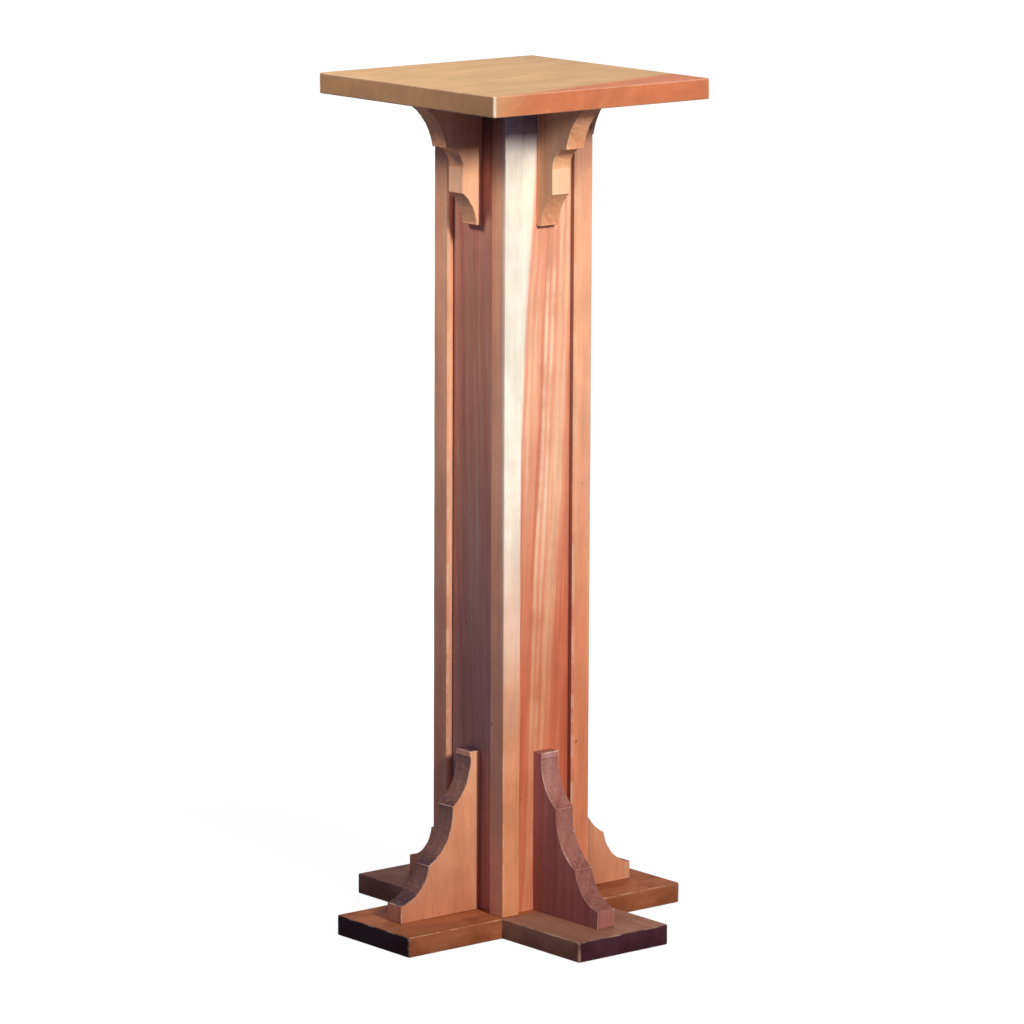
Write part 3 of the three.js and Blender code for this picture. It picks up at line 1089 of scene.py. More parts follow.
    def _sawn_wood(
        self, sheet: Sheet, figure: Sockets, grime_and_shade: Socket, board: Board
    ) -> Socket:
        """The colour of the clean sawn face, heartwood and sapwood.

        Args:
            sheet: The material's sheet.
            figure: Outputs of the wood's figure.
            grime_and_shade: Where the wood is darker towards the floor, partly soiling and partly
                painted shade.
            board: How the piece was sawn.

        Returns:
            The colour.
        """
        tone = sheet.total(0.5 - 0.5 * self.contrast, (figure["Tone"], self.contrast))
        heart = sheet.blend(sheet.step(tone, 0.0, 0.5), linear(self.deep), linear(self.body))
        heart = sheet.blend(sheet.step(tone, 0.5, 1.0), heart, linear(self.pale))
        heart = sheet.blend(sheet.times(figure["Latewood"], self.late), heart, linear(self.deep))
        broken = sheet.step(figure["Mottle"], 0.1, 0.9, 0.15, 0.75)
        heart = sheet.blend(sheet.times(figure["Streak"], broken), heart, linear(STREAK_COLOUR))
        # sapwood painted darker and more orange towards the floor: painted shade of light that falls
        # off downwards
        sap = sheet.blend(grime_and_shade, linear(self.sap), linear(board.aged_and_shaded_sap))
        sap = sheet.tinted(sap, sheet.grey(sheet.step(tone, 0.0, 1.0, 0.93, 1.03)))
        fibres = sheet.step(figure["Fibre"], 0.0, 1.0, 0.94, 1.04)
        cloud = sheet.step(figure["Mottle"], 0.0, 1.0, 1.0 - self.mottle, 1.0 + 0.6 * self.mottle)
        shade = sheet.grey(sheet.times(fibres, cloud))
        return sheet.tinted(sheet.blend(figure["Sap"], heart, sap), shade)

    @staticmethod
    def _in_log(sheet: Sheet, position: Socket, board: Board) -> Socket:
        """The piece's place in its log: turned to its grain, sloped, and moved from the pith.

        Args:
            sheet: The material's sheet.
            position: The piece's own coordinates.
            board: How the piece was sawn.

        Returns:
            The place.
        """
        slope = Euler((math.radians(board.tilt[0]), math.radians(board.tilt[1]), 0.0)).to_matrix()
        turn = (slope @ board.grain.turn).to_euler()
        mapping = sheet.node("ShaderNodeMapping", vector_type="POINT")
        sheet.feed_all(mapping.inputs, {"Vector": position, "Location": board.pith, "Rotation": turn})
        return mapping.outputs["Vector"]


def new_material(name: str) -> tuple[bpy.types.Material, Sheet, Sockets]:
    """Starts a material with one shader.

    Args:
        name: The material's name.

    Returns:
        The material, the sheet to work on, and the shader's inputs.
    """
    made = bpy.data.materials.new(name)
    made.use_nodes = True
    shader = next(n for n in made.node_tree.nodes if n.type == "BSDF_PRINCIPLED")
    return made, Sheet(made.node_tree), shader.inputs


@dataclass(frozen=True)
class SteelFinish:
    """Bright zinc-plated steel of the screws, slightly mottled."""

    name: str = "screw_steel"
    dull: str = "9A9B98"
    bright: str = "C9CAC6"

    def material(self) -> bpy.types.Material:
        """The finish.

        Returns:
            The material.
        """
        made, sheet, shader = new_material(self.name)
        position = sheet.node("ShaderNodeTexCoord").outputs["Object"]
        mottle = sheet.step(sheet.noise(position, scale=700.0, detail=4.0, rough=0.6), 0.3, 0.7)
        sheet.feed(shader["Base Color"], sheet.blend(mottle, linear(self.dull), linear(self.bright)))
        sheet.feed(shader["Roughness"], sheet.step(mottle, 0.0, 1.0, 0.42, 0.26))
        sheet.feed(shader["Metallic"], 1.0)
        return made


POST_WOOD = WoodFinish(
    "post_wood", pale="F8CBA4", body="F2B089", deep="DE8E68",
    contrast=0.6, late=0.06, wander=0.001, mottle=0.13, top_shadow=0.8,
)
# the near post darkens from higher up: partly soiling, partly painted shade
NEAR_POST_WOOD = replace(POST_WOOD, grime_and_shade_top=0.52, grime_and_shade_full=0.14)
PANEL_WOOD = WoodFinish(
    "panel_wood", pale="FACDA6", body="F0A684", deep="D98668",
    contrast=1.0, late=0.25, ring_width=0.012, wander=0.022, mottle=0.1, top_shadow=0.9,
)
# the top board's arrises are painted strongly paler: partly abraded finish, partly painted highlight on
# its corners
TOP_WOOD = WoodFinish(
    "top_wood", pale="DC9068", body="CF7C54", deep="B56344", sap="D0A674", end="D4CCD4",
    contrast=0.6, late=0.08, ring_width=0.009, wander=0.03, roughness=0.55, grime_and_shade_top=0.0,
    grime_and_shade_full=-0.1, gloss=0.06, mottle=0.1, wear_and_highlight=0.95, worn_and_lit="FDEBCB", least_wear_and_highlight=0.5,
)
CORBEL_WOOD = WoodFinish(
    "bracket_wood", pale="FBD8AE", body="F5BF98", deep="DC9A74", end="F0D8BC",
    late=0.1, grime_and_shade_top=0.0, grime_and_shade_full=-0.1, worn_and_lit="FFF0D0",
)
BRACKET_WOOD = WoodFinish(
    "bracket_wood", pale="F9C096", body="F2AC82", deep="D68C66", end="8E7A88",
    contrast=0.9, late=0.12, grime_and_shade_top=0.2, grime_and_shade_full=0.0, wear_and_highlight=0.65, worn_and_lit="FFE6C8",
)
# end colours on two brackets' end grain and sawn coves: the front one's dark blue is painted shade, the
# right one's pale grey is painted light
FRONT_BRACKET_SHADED_WOOD = replace(BRACKET_WOOD, end="5C5680")
RIGHT_BRACKET_LIT_WOOD = replace(BRACKET_WOOD, end="D6CEC0")
BASE_WOOD = WoodFinish(
    "base_wood", pale="D79A6A", body="C88058", deep="A66244", end="8672AA",
    contrast=0.6, late=0.06, roughness=0.6, grime_and_shade_top=0.03, grime_and_shade_full=0.0, gloss=0.05,
    mottle=0.14, wear_and_highlight=0.45, worn_and_lit="F2CDA8",
)
# dark blue end grain on the upper board: painted shade on the front arm's end
UPPER_BASE_SHADED_WOOD = replace(BASE_WOOD, end="5A6CB0")
INNER_WOOD = WoodFinish(
    "inner_wood", pale="EBCB9C", body="D9B181", deep="B98D5E", ring_width=0.006, roughness=0.6
)


# ---------------------------------------------------------------- the stand


BASE_TOP = 22.0 * MM
TOP_UNDERSIDE = 892.0 * MM
BOARD_THICKNESS = 22.0 * MM
PANEL_FACE = 52.5 * MM
PANEL_BACK = 44.5 * MM

DOWEL_LENGTH = 26.0 * MM
DOWEL_IN_TOP = 12.0 * MM
SCREW_LENGTH = 45.0 * MM
SCREW_IN_TOP = 13.0 * MM
SCREW_SINK = 0.5 * MM
FASTENER_INSET = 8.0 * MM
BLOCK_SCREW_OUT = 18.0 * MM
DOWEL_BORE = (
    (2.5 * MM, -0.3 * MM),
    (3.3 * MM, 0.5 * MM),
    (3.3 * MM, DOWEL_LENGTH - 0.5 * MM),
    (2.5 * MM, DOWEL_LENGTH + 0.3 * MM),
)
SCREW_BORE = (
    (4.4 * MM, -1.0 * MM),
    (4.4 * MM, 0.3 * MM),
    (2.4 * MM, 2.9 * MM),
    (2.4 * MM, SCREW_LENGTH - 4.7 * MM),
    (0.02 * MM, SCREW_LENGTH + 0.3 * MM),
)

POST_PLANING = Unevenness(0.16 * MM, (0.05, 0.05, 0.16), seed=11)
PANEL_PLANING = Unevenness(0.12 * MM, (0.03, 0.03, 0.2), seed=31)
BRACKET_PLANING = Unevenness(0.1 * MM, (0.03, 0.03, 0.05), seed=50)
BRACKET_SAWING = Unevenness(0.8 * MM, (0.009, 0.009, 0.009), seed=70, count=26)
BASE_PLANING = Unevenness(0.15 * MM, (0.08, 0.08, 0.03), seed=90)
TOP_PLANING = Unevenness(0.2 * MM, (0.09, 0.09, 0.03), seed=101)
NO_PLANING = Unevenness(0.0, (1.0, 1.0, 1.0), seed=0)

POST_BOARDS = (
    Board(Grain.UPRIGHT, (0.10, -0.16, 0.3), (0.5, -0.4), aged_and_shaded="ECCBBC"),
    Board(
        Grain.UPRIGHT, (0.16, 0.05, 0.9), (-0.4, 0.6), sap_radius=0.262, sap_edge=0.006,
        aged_and_shaded="E4C8BC",
    ),
    Board(Grain.UPRIGHT, (0.12, 0.15, 1.4), (0.5, 0.5), aged_and_shaded="E8DEE0"),
    # the near post's sapwood turns orange towards the floor: painted shade of light that falls off
    # downwards
    Board(
        Grain.UPRIGHT, (0.15, 0.0475, 2.1), sap_radius=0.2068,
        aged_and_shaded="E6E0E6", aged_and_shaded_sap="FFAE76",
    ),
)
PANEL_BOARDS = (
    # right panel: its sapwood edge and pale streaks are placed where a highlight falls beside the near
    # post, so they are partly a painted highlight
    Board(
        Grain.UPRIGHT, (0.0, -0.15, 0.0), (2.8, 0.0), sap_radius=0.2104, sap_edge=0.003,
        streaks=(0.1855, 0.1775), aged_and_shaded="E2BCAC",
    ),
    Board(
        Grain.UPRIGHT, (0.13, 0.02, 0.5), (0.0, 1.6), sap_radius=0.165, sap_edge=0.002,
        streaks=(0.15, OUT_OF_REACH), aged_and_shaded="E2BCAC",
    ),
    Board(
        Grain.UPRIGHT, (0.0, 0.17, 1.0), (-1.5, 0.0), sap_radius=0.215, sap_edge=0.003,
        streaks=(0.188, 0.2), aged_and_shaded="E0C4BC",
    ),
    # front panel: its darker, cooler tint and cool lower colour are painted shade on the side away from
    # the key lamp
    Board(Grain.UPRIGHT, (0.16, 0.0, 1.6), (0.0, 1.2), tint="E0DCE4", aged_and_shaded="DEE8FF"),
)
TOP_BOARD = Board(
    Grain.ALONG_Y, (-0.35, 0.88, 0.0), (0.0, 11.3), sap_radius=0.2357, sap_edge=0.009
)
BASE_BOARDS = (
    # lower board: its bluish tint is painted shade on the sides away from the key lamp
    Board(Grain.ALONG_X, (0.03, 0.09, 0.0), (0.7, 1.2), tint="C6DEFA"),
    Board(Grain.ALONG_Y, (0.03, 0.11, 0.4), (0.7, 1.2), tint="DED6CC"),
)


@dataclass(frozen=True)
class Cusp:
    """A cusp of a scalloped bracket.

    Attributes:
        out: Distance from the panel's face.
        along: Distance from the bracket's foot.
        riser: Straight end of the cove that starts here.
        hollow: Sagitta of that cove as a share of its chord.
    """

    out: float
    along: float
    riser: float = 0.0
    hollow: float = 0.0


@dataclass(frozen=True)
class Scallop:
    """The side outline of a bracket: straight back and foot, with coves from toe to tip.

    Attributes:
        cusps: The cusps from the toe to the tip.
        cusp_radius: Rounding of each cusp.
        riser_radius: Rounding where a cove meets its riser.
        joint_radius: Rounding of the corners that are hidden in joints, and of the toe.
        spacing: Distance between the points of a cove.
        flat_spacing: Distance between the points of the straight runs that show.
    """

    cusps: tuple[Cusp, ...]
    cusp_radius: float = 1.35 * MM
    riser_radius: float = 0.8 * MM
    joint_radius: float = 0.4 * MM
    spacing: float = 1.6 * MM
    flat_spacing: float = 3.0 * MM

    def cove(self, cusp: Cusp, upper: Cusp) -> np.ndarray:
        """The arc from a cusp up to the foot of the next one's riser.

        Its depth is the cusp's share of the chord, and the radius follows from both as
        chord squared over eight depths plus half the depth.

        Args:
            cusp: Where the arc starts.
            upper: The next cusp towards the tip.

        Returns:
            Points of the arc, ends included.
        """
        low = np.array([cusp.out, cusp.along])
        high = np.array([upper.out, upper.along - cusp.riser])
        chord = low - high
        span = float(np.linalg.norm(chord))
        depth = cusp.hollow * span
        radius = span**2 / (8 * depth) + depth / 2
        centre = (low + high) / 2 + np.array([-chord[1], chord[0]]) / span * (radius - depth)
        half = math.asin(span / 2 / radius)
        middle = math.atan2(*((low + high) / 2 - centre)[::-1])
        angle = np.linspace(middle + half, middle - half, 41)
        return centre + radius * np.stack([np.cos(angle), np.sin(angle)], axis=1)

    def outline(self) -> Outline:
        """The whole outline, from the back of the foot round by the toe to the tip.

        Returns:
            The outline, crisp where it lies against the arm, the board or the panel.
        """
        toe, tip = self.cusps[0], self.cusps[-1]
        heel, sole, back = (JOINT_GAP, JOINT_GAP), (toe.out, JOINT_GAP), (JOINT_GAP, tip.along)
        hidden, flat = 10 * MM, self.flat_spacing
        legs = [
            Leg(line(heel, sole), self.joint_radius, hidden, eased=0.0),
            Leg(line(sole, (toe.out, toe.along)), self.joint_radius, flat),
        ]
        for cusp, upper in zip(self.cusps, self.cusps[1:]):
            legs.append(Leg(self.cove(cusp, upper), self.cusp_radius, self.spacing, sawn=1.0))
            if cusp.riser > 0:
                foot = (upper.out, upper.along - cusp.riser)
                legs.append(Leg(line(foot, (upper.out, upper.along)), self.riser_radius, flat))
        legs.append(Leg(line((tip.out, tip.along), back), self.cusp_radius, flat))
        legs.append(Leg(line(back, heel), self.joint_radius, hidden, eased=0.0))
        return joined(legs)


FOOT_SCALLOP = Scallop(
    (
        Cusp(107.5 * MM, 19.5 * MM, 0.0, 0.16),
        Cusp(70 * MM, 57.5 * MM, 0.0, 0.15),
        Cusp(38 * MM, 117.5 * MM, 6 * MM, 0.13),
        Cusp(13.5 * MM, 174.5 * MM),
    )
)
CORBEL_SCALLOP = Scallop(
    (
        Cusp(77 * MM, 2.5 * MM, 0.0, 0.1),
        Cusp(48.5 * MM, 46.5 * MM, 27 * MM, 0.2),
        Cusp(26 * MM, 96 * MM, 0.0, 0.1),
        Cusp(7.5 * MM, 131 * MM),
    )
)


def level_bores(turn: int, scallop: Scallop) -> list[Bore]:
    """The level dowel holes that hold one bracket or corbel, from the panel's back outwards.

    Args:
        turn: Quarter turns from +X to its side.
        scallop: FOOT_SCALLOP for a foot bracket, CORBEL_SCALLOP for a corbel.

    Returns:
        The holes.
    """
    foot, up = (BASE_TOP, 1.0) if scallop is FOOT_SCALLOP else (TOP_UNDERSIDE, -1.0)
    heights = [foot + up * (scallop.cusps[k].along - FASTENER_INSET) for k in (1, 2)]
    outwards = about(turn, (1.0, 0.0, 0.0))
    return [Bore(DOWEL_BORE, about(turn, (PANEL_BACK, 0.0, z)), outwards) for z in heights]


def arm_screw_bores(turn: int) -> list[Bore]:
    """The screw holes up through one base arm into its bracket."""
    outs = [PANEL_FACE + FOOT_SCALLOP.cusps[k].out - FASTENER_INSET for k in (2, 1)]
    return [Bore(SCREW_BORE, about(turn, (out, 0.0, SCREW_SINK))) for out in outs]


def block_screw_bores(height: float) -> list[Bore]:
    """The four screw holes of a block, up from a height."""
    places = [(x * BLOCK_SCREW_OUT, y * BLOCK_SCREW_OUT, height) for x in (1, -1) for y in (1, -1)]
    return [Bore(SCREW_BORE, place) for place in places]


def top_dowel_bore(turn: int) -> Bore:
    """The upright dowel hole from one corbel into the top board."""
    out = PANEL_FACE + CORBEL_SCALLOP.cusps[1].out - FASTENER_INSET
    return Bore(DOWEL_BORE, about(turn, (out, 0.0, TOP_UNDERSIDE + DOWEL_IN_TOP - DOWEL_LENGTH)))


def cutters(bores: Sequence[Bore]) -> list[bpy.types.Mesh]:
    """The closed meshes that cut the bores."""
    return [bore.cutter() for bore in bores]


@dataclass
class Column:
    """The hollow column: four grooved corner posts with a thin panel between each two.

    Attributes:
        groups: The shared node groups.
        half: Half the column's width.
        post: Width of a post.
        chamfer: Chamfer of a post's edges beside the panels.
        tongue: How far a panel's edge reaches into a post.
        eased: Rounding of a post's outer corner.
        end_arris: Rounding of the ends, which joints hide.
        row_spacing: Distance between the rows up the column.
    """

    groups: Groups
    half: float = 59.5 * MM
    post: float = 24.0 * MM
    chamfer: float = 2.0 * MM
    tongue: float = 4.5 * MM
    eased: float = 1.5 * MM
    end_arris: float = 0.15 * MM
    row_spacing: float = 12.0 * MM

    def post_outline(self) -> Outline:
        """Section of the post at the +X +Y corner, with a groove for each panel beside it.

        Returns:
            The outline, marked for paler arrises round the outer corner and on the chamfers; on the
            chamfers the mark is mostly a painted highlight, at the corner abraded finish.
        """
        half, inner, cut = self.half, self.half - self.post, self.chamfer
        deep = inner + self.tongue + JOINT_GAP
        back, front = PANEL_BACK - JOINT_GAP, PANEL_FACE + JOINT_GAP
        crisp, soft = 0.15 * MM, 0.5 * MM
        below = [(back, inner), (back, deep), (front, deep), (front, inner)]
        corners = [
            (inner, inner), *below, (half - cut, inner), (half, inner + cut), (half, half),
            (inner + cut, half), (inner, half - cut), *((y, x) for x, y in below[::-1]),
        ]
        radii = [crisp] * 5 + [soft] * 2 + [self.eased] + [soft] * 2 + [crisp] * 4
        outline = joined(ring_of_legs(corners, radii, 4 * MM), steps=4, support=0.1 * MM)
        reach, beside = outline.points.max(axis=1), outline.points.min(axis=1)
        # the chamfers are marked 0.8 paler: a painted highlight along the chamfers
        chamfered = (reach > half - 0.9 * cut) & (beside < inner + 0.9 * cut)
        corner = outline.worn_and_lit * (reach > PANEL_FACE + 2 * MM)
        return replace(outline, worn_and_lit=np.maximum(corner, 0.8 * chamfered))

    def wall_dirt_and_shade(self, outline: Outline) -> np.ndarray:
        """How dark each place of a post is painted: only the recess wall, partly soiling that cloths
        don't reach and partly painted shade in the recess.

        Args:
            outline: The post's outline.

        Returns:
            0.8 on the wall, else 0.
        """
        x, y = outline.points.T
        wall = np.abs(y - (self.half - self.post)) < 0.2 * MM
        return 0.8 * (wall & (x > PANEL_FACE) & (x < self.half - self.chamfer))

    def build(self) -> Iterator[bpy.types.Object]:
        """Makes the posts and panels.

        Returns:
            Each piece as it is done.
        """
        low, high = BASE_TOP + JOINT_GAP, TOP_UNDERSIDE - JOINT_GAP
        rows = eased_levels(low, high, self.end_arris, self.row_spacing, support=0.1 * MM)
        outline = self.post_outline()
        # darker recess walls: partly soiling, partly painted shade
        seam_dirt_and_shade = self.wall_dirt_and_shade(outline)
        for turn, corner in enumerate(CORNERS):
            node = f"corner_post_{corner}"
            planed = POST_PLANING.of_piece(turn)
            mesh = carried_mesh(node, outline, rows, UPRIGHT.turned(turn), planed, seam=seam_dirt_and_shade)
            wood = NEAR_POST_WOOD if corner == "front_right" else POST_WOOD
            material = wood.material(node, POST_BOARDS[turn], self.groups)
            yield stood_in(node, mesh, material)

        width, middle = 2 * (self.half - self.post), (PANEL_FACE + PANEL_BACK) / 2
        section = rectangle(
            (PANEL_FACE - PANEL_BACK) / 2, width / 2 + self.tongue, radius=0.2 * MM, spacing=MM
        )
        # dark seam on the panel beside each post: partly soiling, partly painted shade in the corner
        beside_post = np.abs(section.points[:, 1]) - width / 2 + 1.3 * MM
        seam_dirt_and_shade = np.clip(beside_post / (1.2 * MM), 0.0, 1.0)
        for turn, side in enumerate(SIDES):
            node = f"panel_{side}"
            placing = replace(UPRIGHT, origin=(middle, 0.0, 0.0)).turned(turn)
            planed = PANEL_PLANING.of_piece(turn)
            mesh = carried_mesh(node, section, rows, placing, planed, seam=seam_dirt_and_shade)
            material = PANEL_WOOD.material(node, PANEL_BOARDS[turn], self.groups)
            bores = level_bores(turn, FOOT_SCALLOP) + level_bores(turn, CORBEL_SCALLOP)
            yield stood_in(node, mesh, material, cutters(bores))


@dataclass
class Brackets:
    """The scalloped foot brackets on the base arms and the corbels under the top."""

    groups: Groups
    thickness: float = 24.0 * MM
    arris: float = 0.9 * MM
    row_spacing: float = 1.7 * MM

    def build(self) -> Iterator[bpy.types.Object]:
        """Makes the four brackets and four corbels.

        Returns:
            Each piece as it is done.
        """
        out, arm, board = (1.0, 0.0, 0.0), (PANEL_FACE, 0.0, BASE_TOP), (PANEL_FACE, 0.0, TOP_UNDERSIDE)
        foot = Placing(out, (0.0, 0.0, 1.0), (0.0, -1.0, 0.0), arm)
        head = Placing(out, (0.0, 0.0, -1.0), (0.0, 1.0, 0.0), board)
        woods = {"front": FRONT_BRACKET_SHADED_WOOD, "right": RIGHT_BRACKET_LIT_WOOD}
        for turn, side in enumerate(SIDES):
            node, wood = f"foot_bracket_{side}", woods.get(side, BRACKET_WOOD)
            bores = level_bores(turn, FOOT_SCALLOP) + arm_screw_bores(turn)
            yield self._bracket(node, wood, FOOT_SCALLOP, foot.turned(turn), turn, bores)
            bores = level_bores(turn, CORBEL_SCALLOP) + [top_dowel_bore(turn)]
            node, cut = f"corbel_{side}", turn + len(SIDES)
            yield self._bracket(node, CORBEL_WOOD, CORBEL_SCALLOP, head.turned(turn), cut, bores)

    def _bracket(
        self,
        node: str,
        wood: WoodFinish,
        scallop: Scallop,
        placing: Placing,
        cut: int,
        bores: list[Bore],
    ) -> bpy.types.Object:
        """Makes one bracket, with sawn coves and planed sides.

        Args:
            node: The CAD node that it stands for.
            wood: Its finish.
            scallop: Its side outline.
            placing: Where the outline stands.
            cut: Its number among the pieces that were cut from the same log.
            bores: Its holes.

        Returns:
            The piece.
        """
        rows = eased_levels(
            -self.thickness / 2, self.thickness / 2, self.arris, self.row_spacing, support=0.25 * MM
        )
        planed, sawn = BRACKET_PLANING.of_piece(cut), BRACKET_SAWING.of_piece(cut)
        mesh = carried_mesh(node, scallop.outline(), rows, placing, planed, sawn)
        # the right foot bracket is tinted darker and bluer: painted shade on its side away from the key
        # lamp
        tint = "C8C0EC" if node == "foot_bracket_right" else "FFFFFF"
        pith = (0.13 + 0.017 * cut, 0.15 - 0.011 * cut, 0.21 * cut)
        board = Board(Grain.UPRIGHT, pith, (0.8, 0.4), tint=tint)
        material = wood.material(node, board, self.groups)
        return stood_in(node, mesh, material, cutters(bores))


@dataclass
class Base:
    """The cross base: two boards half-lapped under the column."""

    groups: Groups
    half_width: float = 62.0 * MM
    half_length: float = 189.0 * MM
    corner: float = 3.0 * MM
    eased: float = 1.5 * MM

    def outline(self) -> Outline:
        """Plan of a board along X.

        Returns:
            The outline; its long edges stay crisp where the other board crosses.
        """
        a, b = self.half_width, self.half_length
        seam = a + JOINT_GAP / 2
        stops = [(-b, -a), (-seam, -a), (seam, -a), (b, -a), (b, a), (seam, a), (-seam, a), (-b, a)]
        radii = [self.corner if abs(x) > seam + MM else 0.05 * MM for x, _ in stops]
        outline = joined(ring_of_legs(stops, radii, 8 * MM), support=0.2 * MM)
        return replace(outline, eased=(np.abs(outline.points[:, 0]) > seam).astype(float))

    def build(self) -> Iterator[bpy.types.Object]:
        """Makes both boards, with their laps and screw holes.

        Returns:
            Each piece as it is done.
        """
        rows = eased_levels(0.0, BOARD_THICKNESS, self.eased, 4 * MM)
        lap, clear = (BOARD_THICKNESS - JOINT_GAP) / 2, 5 * MM
        notches = ((lap, BOARD_THICKNESS + clear), (-clear, lap + JOINT_GAP))
        names, woods = ("base_board_lower", "base_board_upper"), (BASE_WOOD, UPPER_BASE_SHADED_WOOD)
        for turn, (node, wood, notch) in enumerate(zip(names, woods, notches)):
            planed = BASE_PLANING.of_piece(turn)
            mesh = carried_mesh(node, self.outline(), rows, UPRIGHT.turned(turn), planed)
            material = wood.material(node, BASE_BOARDS[turn], self.groups)
            bores = arm_screw_bores(turn) + arm_screw_bores(turn + 2) + block_screw_bores(SCREW_SINK)
            tools = [self._notch(turn, notch), *cutters(bores)]
            yield stood_in(node, mesh, material, tools)

    def _notch(self, turn: int, heights: tuple[float, float]) -> bpy.types.Mesh:
        """What is cut away for the other board.

        Args:
            turn: 0 for the board along X, 1 for the one along Y.
            heights: Where the cut starts and ends.

        Returns:
            A block across the board, as a closed mesh.
        """
        side, reach = self.half_width + JOINT_GAP, 100 * MM
        corners = [(-side, -reach), (side, -reach), (side, reach), (-side, reach)]
        outline = joined(ring_of_legs(corners, [0.01 * MM] * 4, 1.0), steps=1)
        square = Levels(np.array(heights), *np.zeros((3, 2)))
        return carried_mesh("notch", outline, square, UPRIGHT.turned(turn), NO_PLANING)


@dataclass
class Top:
    """The square top board."""

    groups: Groups
    half: float = 146.5 * MM
    corner: float = 3.0 * MM
    eased: float = 1.5 * MM

    def build(self) -> Iterator[bpy.types.Object]:
        """Makes the board, with the holes for its dowels and screws.

        Returns:
            The piece.
        """
        node = "top_board"
        rows = eased_levels(TOP_UNDERSIDE, TOP_UNDERSIDE + BOARD_THICKNESS, self.eased, 4 * MM)
        outline = rectangle(self.half, self.half, self.corner, 8 * MM)
        # stronger paler mark on the top's rounded corners: partly abraded finish, partly painted
        # highlight
        outline = replace(outline, worn_and_lit=1.7 * np.sqrt(outline.worn_and_lit))
        mesh = carried_mesh(node, outline, rows, UPRIGHT, TOP_PLANING, end_wear_and_highlight=0.3)
        material = TOP_WOOD.material(node, TOP_BOARD, self.groups)
        screws = block_screw_bores(TOP_UNDERSIDE + SCREW_IN_TOP - SCREW_LENGTH)
        bores = [top_dowel_bore(turn) for turn in range(4)] + screws
        yield stood_in(node, mesh, material, cutters(bores))


@dataclass
class Fixings:
    """The hidden blocks, dowels and screws, which keep their CAD solids."""

    groups: Groups

    def build(self) -> Iterator[bpy.types.Object]:
        """Gives every carried-over node its finish.

        Returns:
            Each node as it is done.
        """
        steel = SteelFinish().material()
        board = Board(Grain.UPRIGHT, (0.04, 0.05, 0.0))
        wood = INNER_WOOD.material("fixings", board, self.groups)
        for name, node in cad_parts.items():
            if not node.hide_render:
                for slot in node.material_slots:
                    slot.material = steel if "screw" in name else wood
                yield node


# ---------------------------------------------------------------- studio


@dataclass(frozen=True)
class Lamp:
    """A soft oblong lamp.

    Attributes:
        name: Its name.
        place: Where it hangs.
        target: What it points at.
        size: Its width and height.
        power: Its power in watts.
        colour: Colour of its light.
        spread: Angle that its light is kept within, in degrees.
        glints: Whether glossy surfaces mirror it.
    """

    name: str
    place: Triple
    target: Triple
    size: tuple[float, float]
    power: float
    colour: str
    spread: float
    glints: bool = True

    def hang(self) -> None:
        """Adds the lamp to the scene, unseen by the camera."""
        data = bpy.data.lights.new(self.name, "AREA")
        data.shape, data.energy, data.color = "RECTANGLE", self.power, linear(self.colour)[:3]
        data.size, data.size_y = self.size
        data.spread = math.radians(self.spread)
        lamp = bpy.data.objects.new(self.name, data)
        lamp.visible_camera, lamp.visible_glossy = False, self.glints
        lamp.location = self.place
        sight = Vector(self.target) - Vector(self.place)
        lamp.rotation_euler = sight.to_track_quat("-Z", "Y").to_euler()
        bpy.context.scene.collection.objects.link(lamp)


LAMPS = (
    Lamp("key_lamp", (4.6, -0.5, 3.0), (0.0, 0.0, 0.7), (0.35, 1.0), 14.1, "FFFAF2", 40.0),
    Lamp("side_lamp", (-0.5, -0.85, 1.6), (0.0, 0.0, 0.95), (0.3, 0.3), 1.42, "FFF8F0", 60.0),
    Lamp("top_lamp", (-0.3, -0.5, 3.0), (0.0, 0.0, 0.8), (1.6, 1.6), 1.0, "FFFFFF", 180.0),
    Lamp("back_lamp", (-1.9, 2.1, 0.95), (0.0, 0.0, 0.45), (1.0, 0.6), 12.0, "FFF6EC", 90.0, False),
)


@dataclass(frozen=True)
class Camera:
    """The camera, where the photograph was taken.

    Attributes:
        azimuth: Its direction round the stand, from -Y towards +X, in radians.
        distance: Its level distance from the column's axis.
        height: Its height.
        pitch: Its slope, in radians, below the horizon where negative.
        roll: Its roll, in radians.
        lens: Focal length for the sensor's width, in millimetres.
        sensor: The sensor's width, in millimetres.
        far: Distance past which it sees nothing.
    """

    azimuth: float = 0.8807
    distance: float = 5.8971
    height: float = 1.5504
    pitch: float = -0.185
    roll: float = 0.0045
    lens: float = 197.74
    sensor: float = 36.0
    far: float = 100.0

    def set_up(self) -> None:
        """Adds the camera to the scene and looks through it."""
        sin, cos = math.sin(self.azimuth), math.cos(self.azimuth)
        level = math.cos(self.pitch)
        forward = Vector((-sin * level, cos * level, math.sin(self.pitch)))
        right = Vector((cos, sin, 0.0))
        up = right.cross(forward)
        rolled = right * math.cos(self.roll) + up * math.sin(self.roll)
        raised = up * math.cos(self.roll) - right * math.sin(self.roll)
        place = Matrix.Translation((sin * self.distance, -cos * self.distance, self.height))
        camera = bpy.data.objects.new("camera", bpy.data.cameras.new("camera"))
        camera.data.lens, camera.data.sensor_width = self.lens, self.sensor
        camera.data.clip_end = self.far
        camera.matrix_world = place @ Matrix((rolled, raised, -forward)).transposed().to_4x4()
        bpy.context.scene.collection.objects.link(camera)
        bpy.context.scene.camera = camera


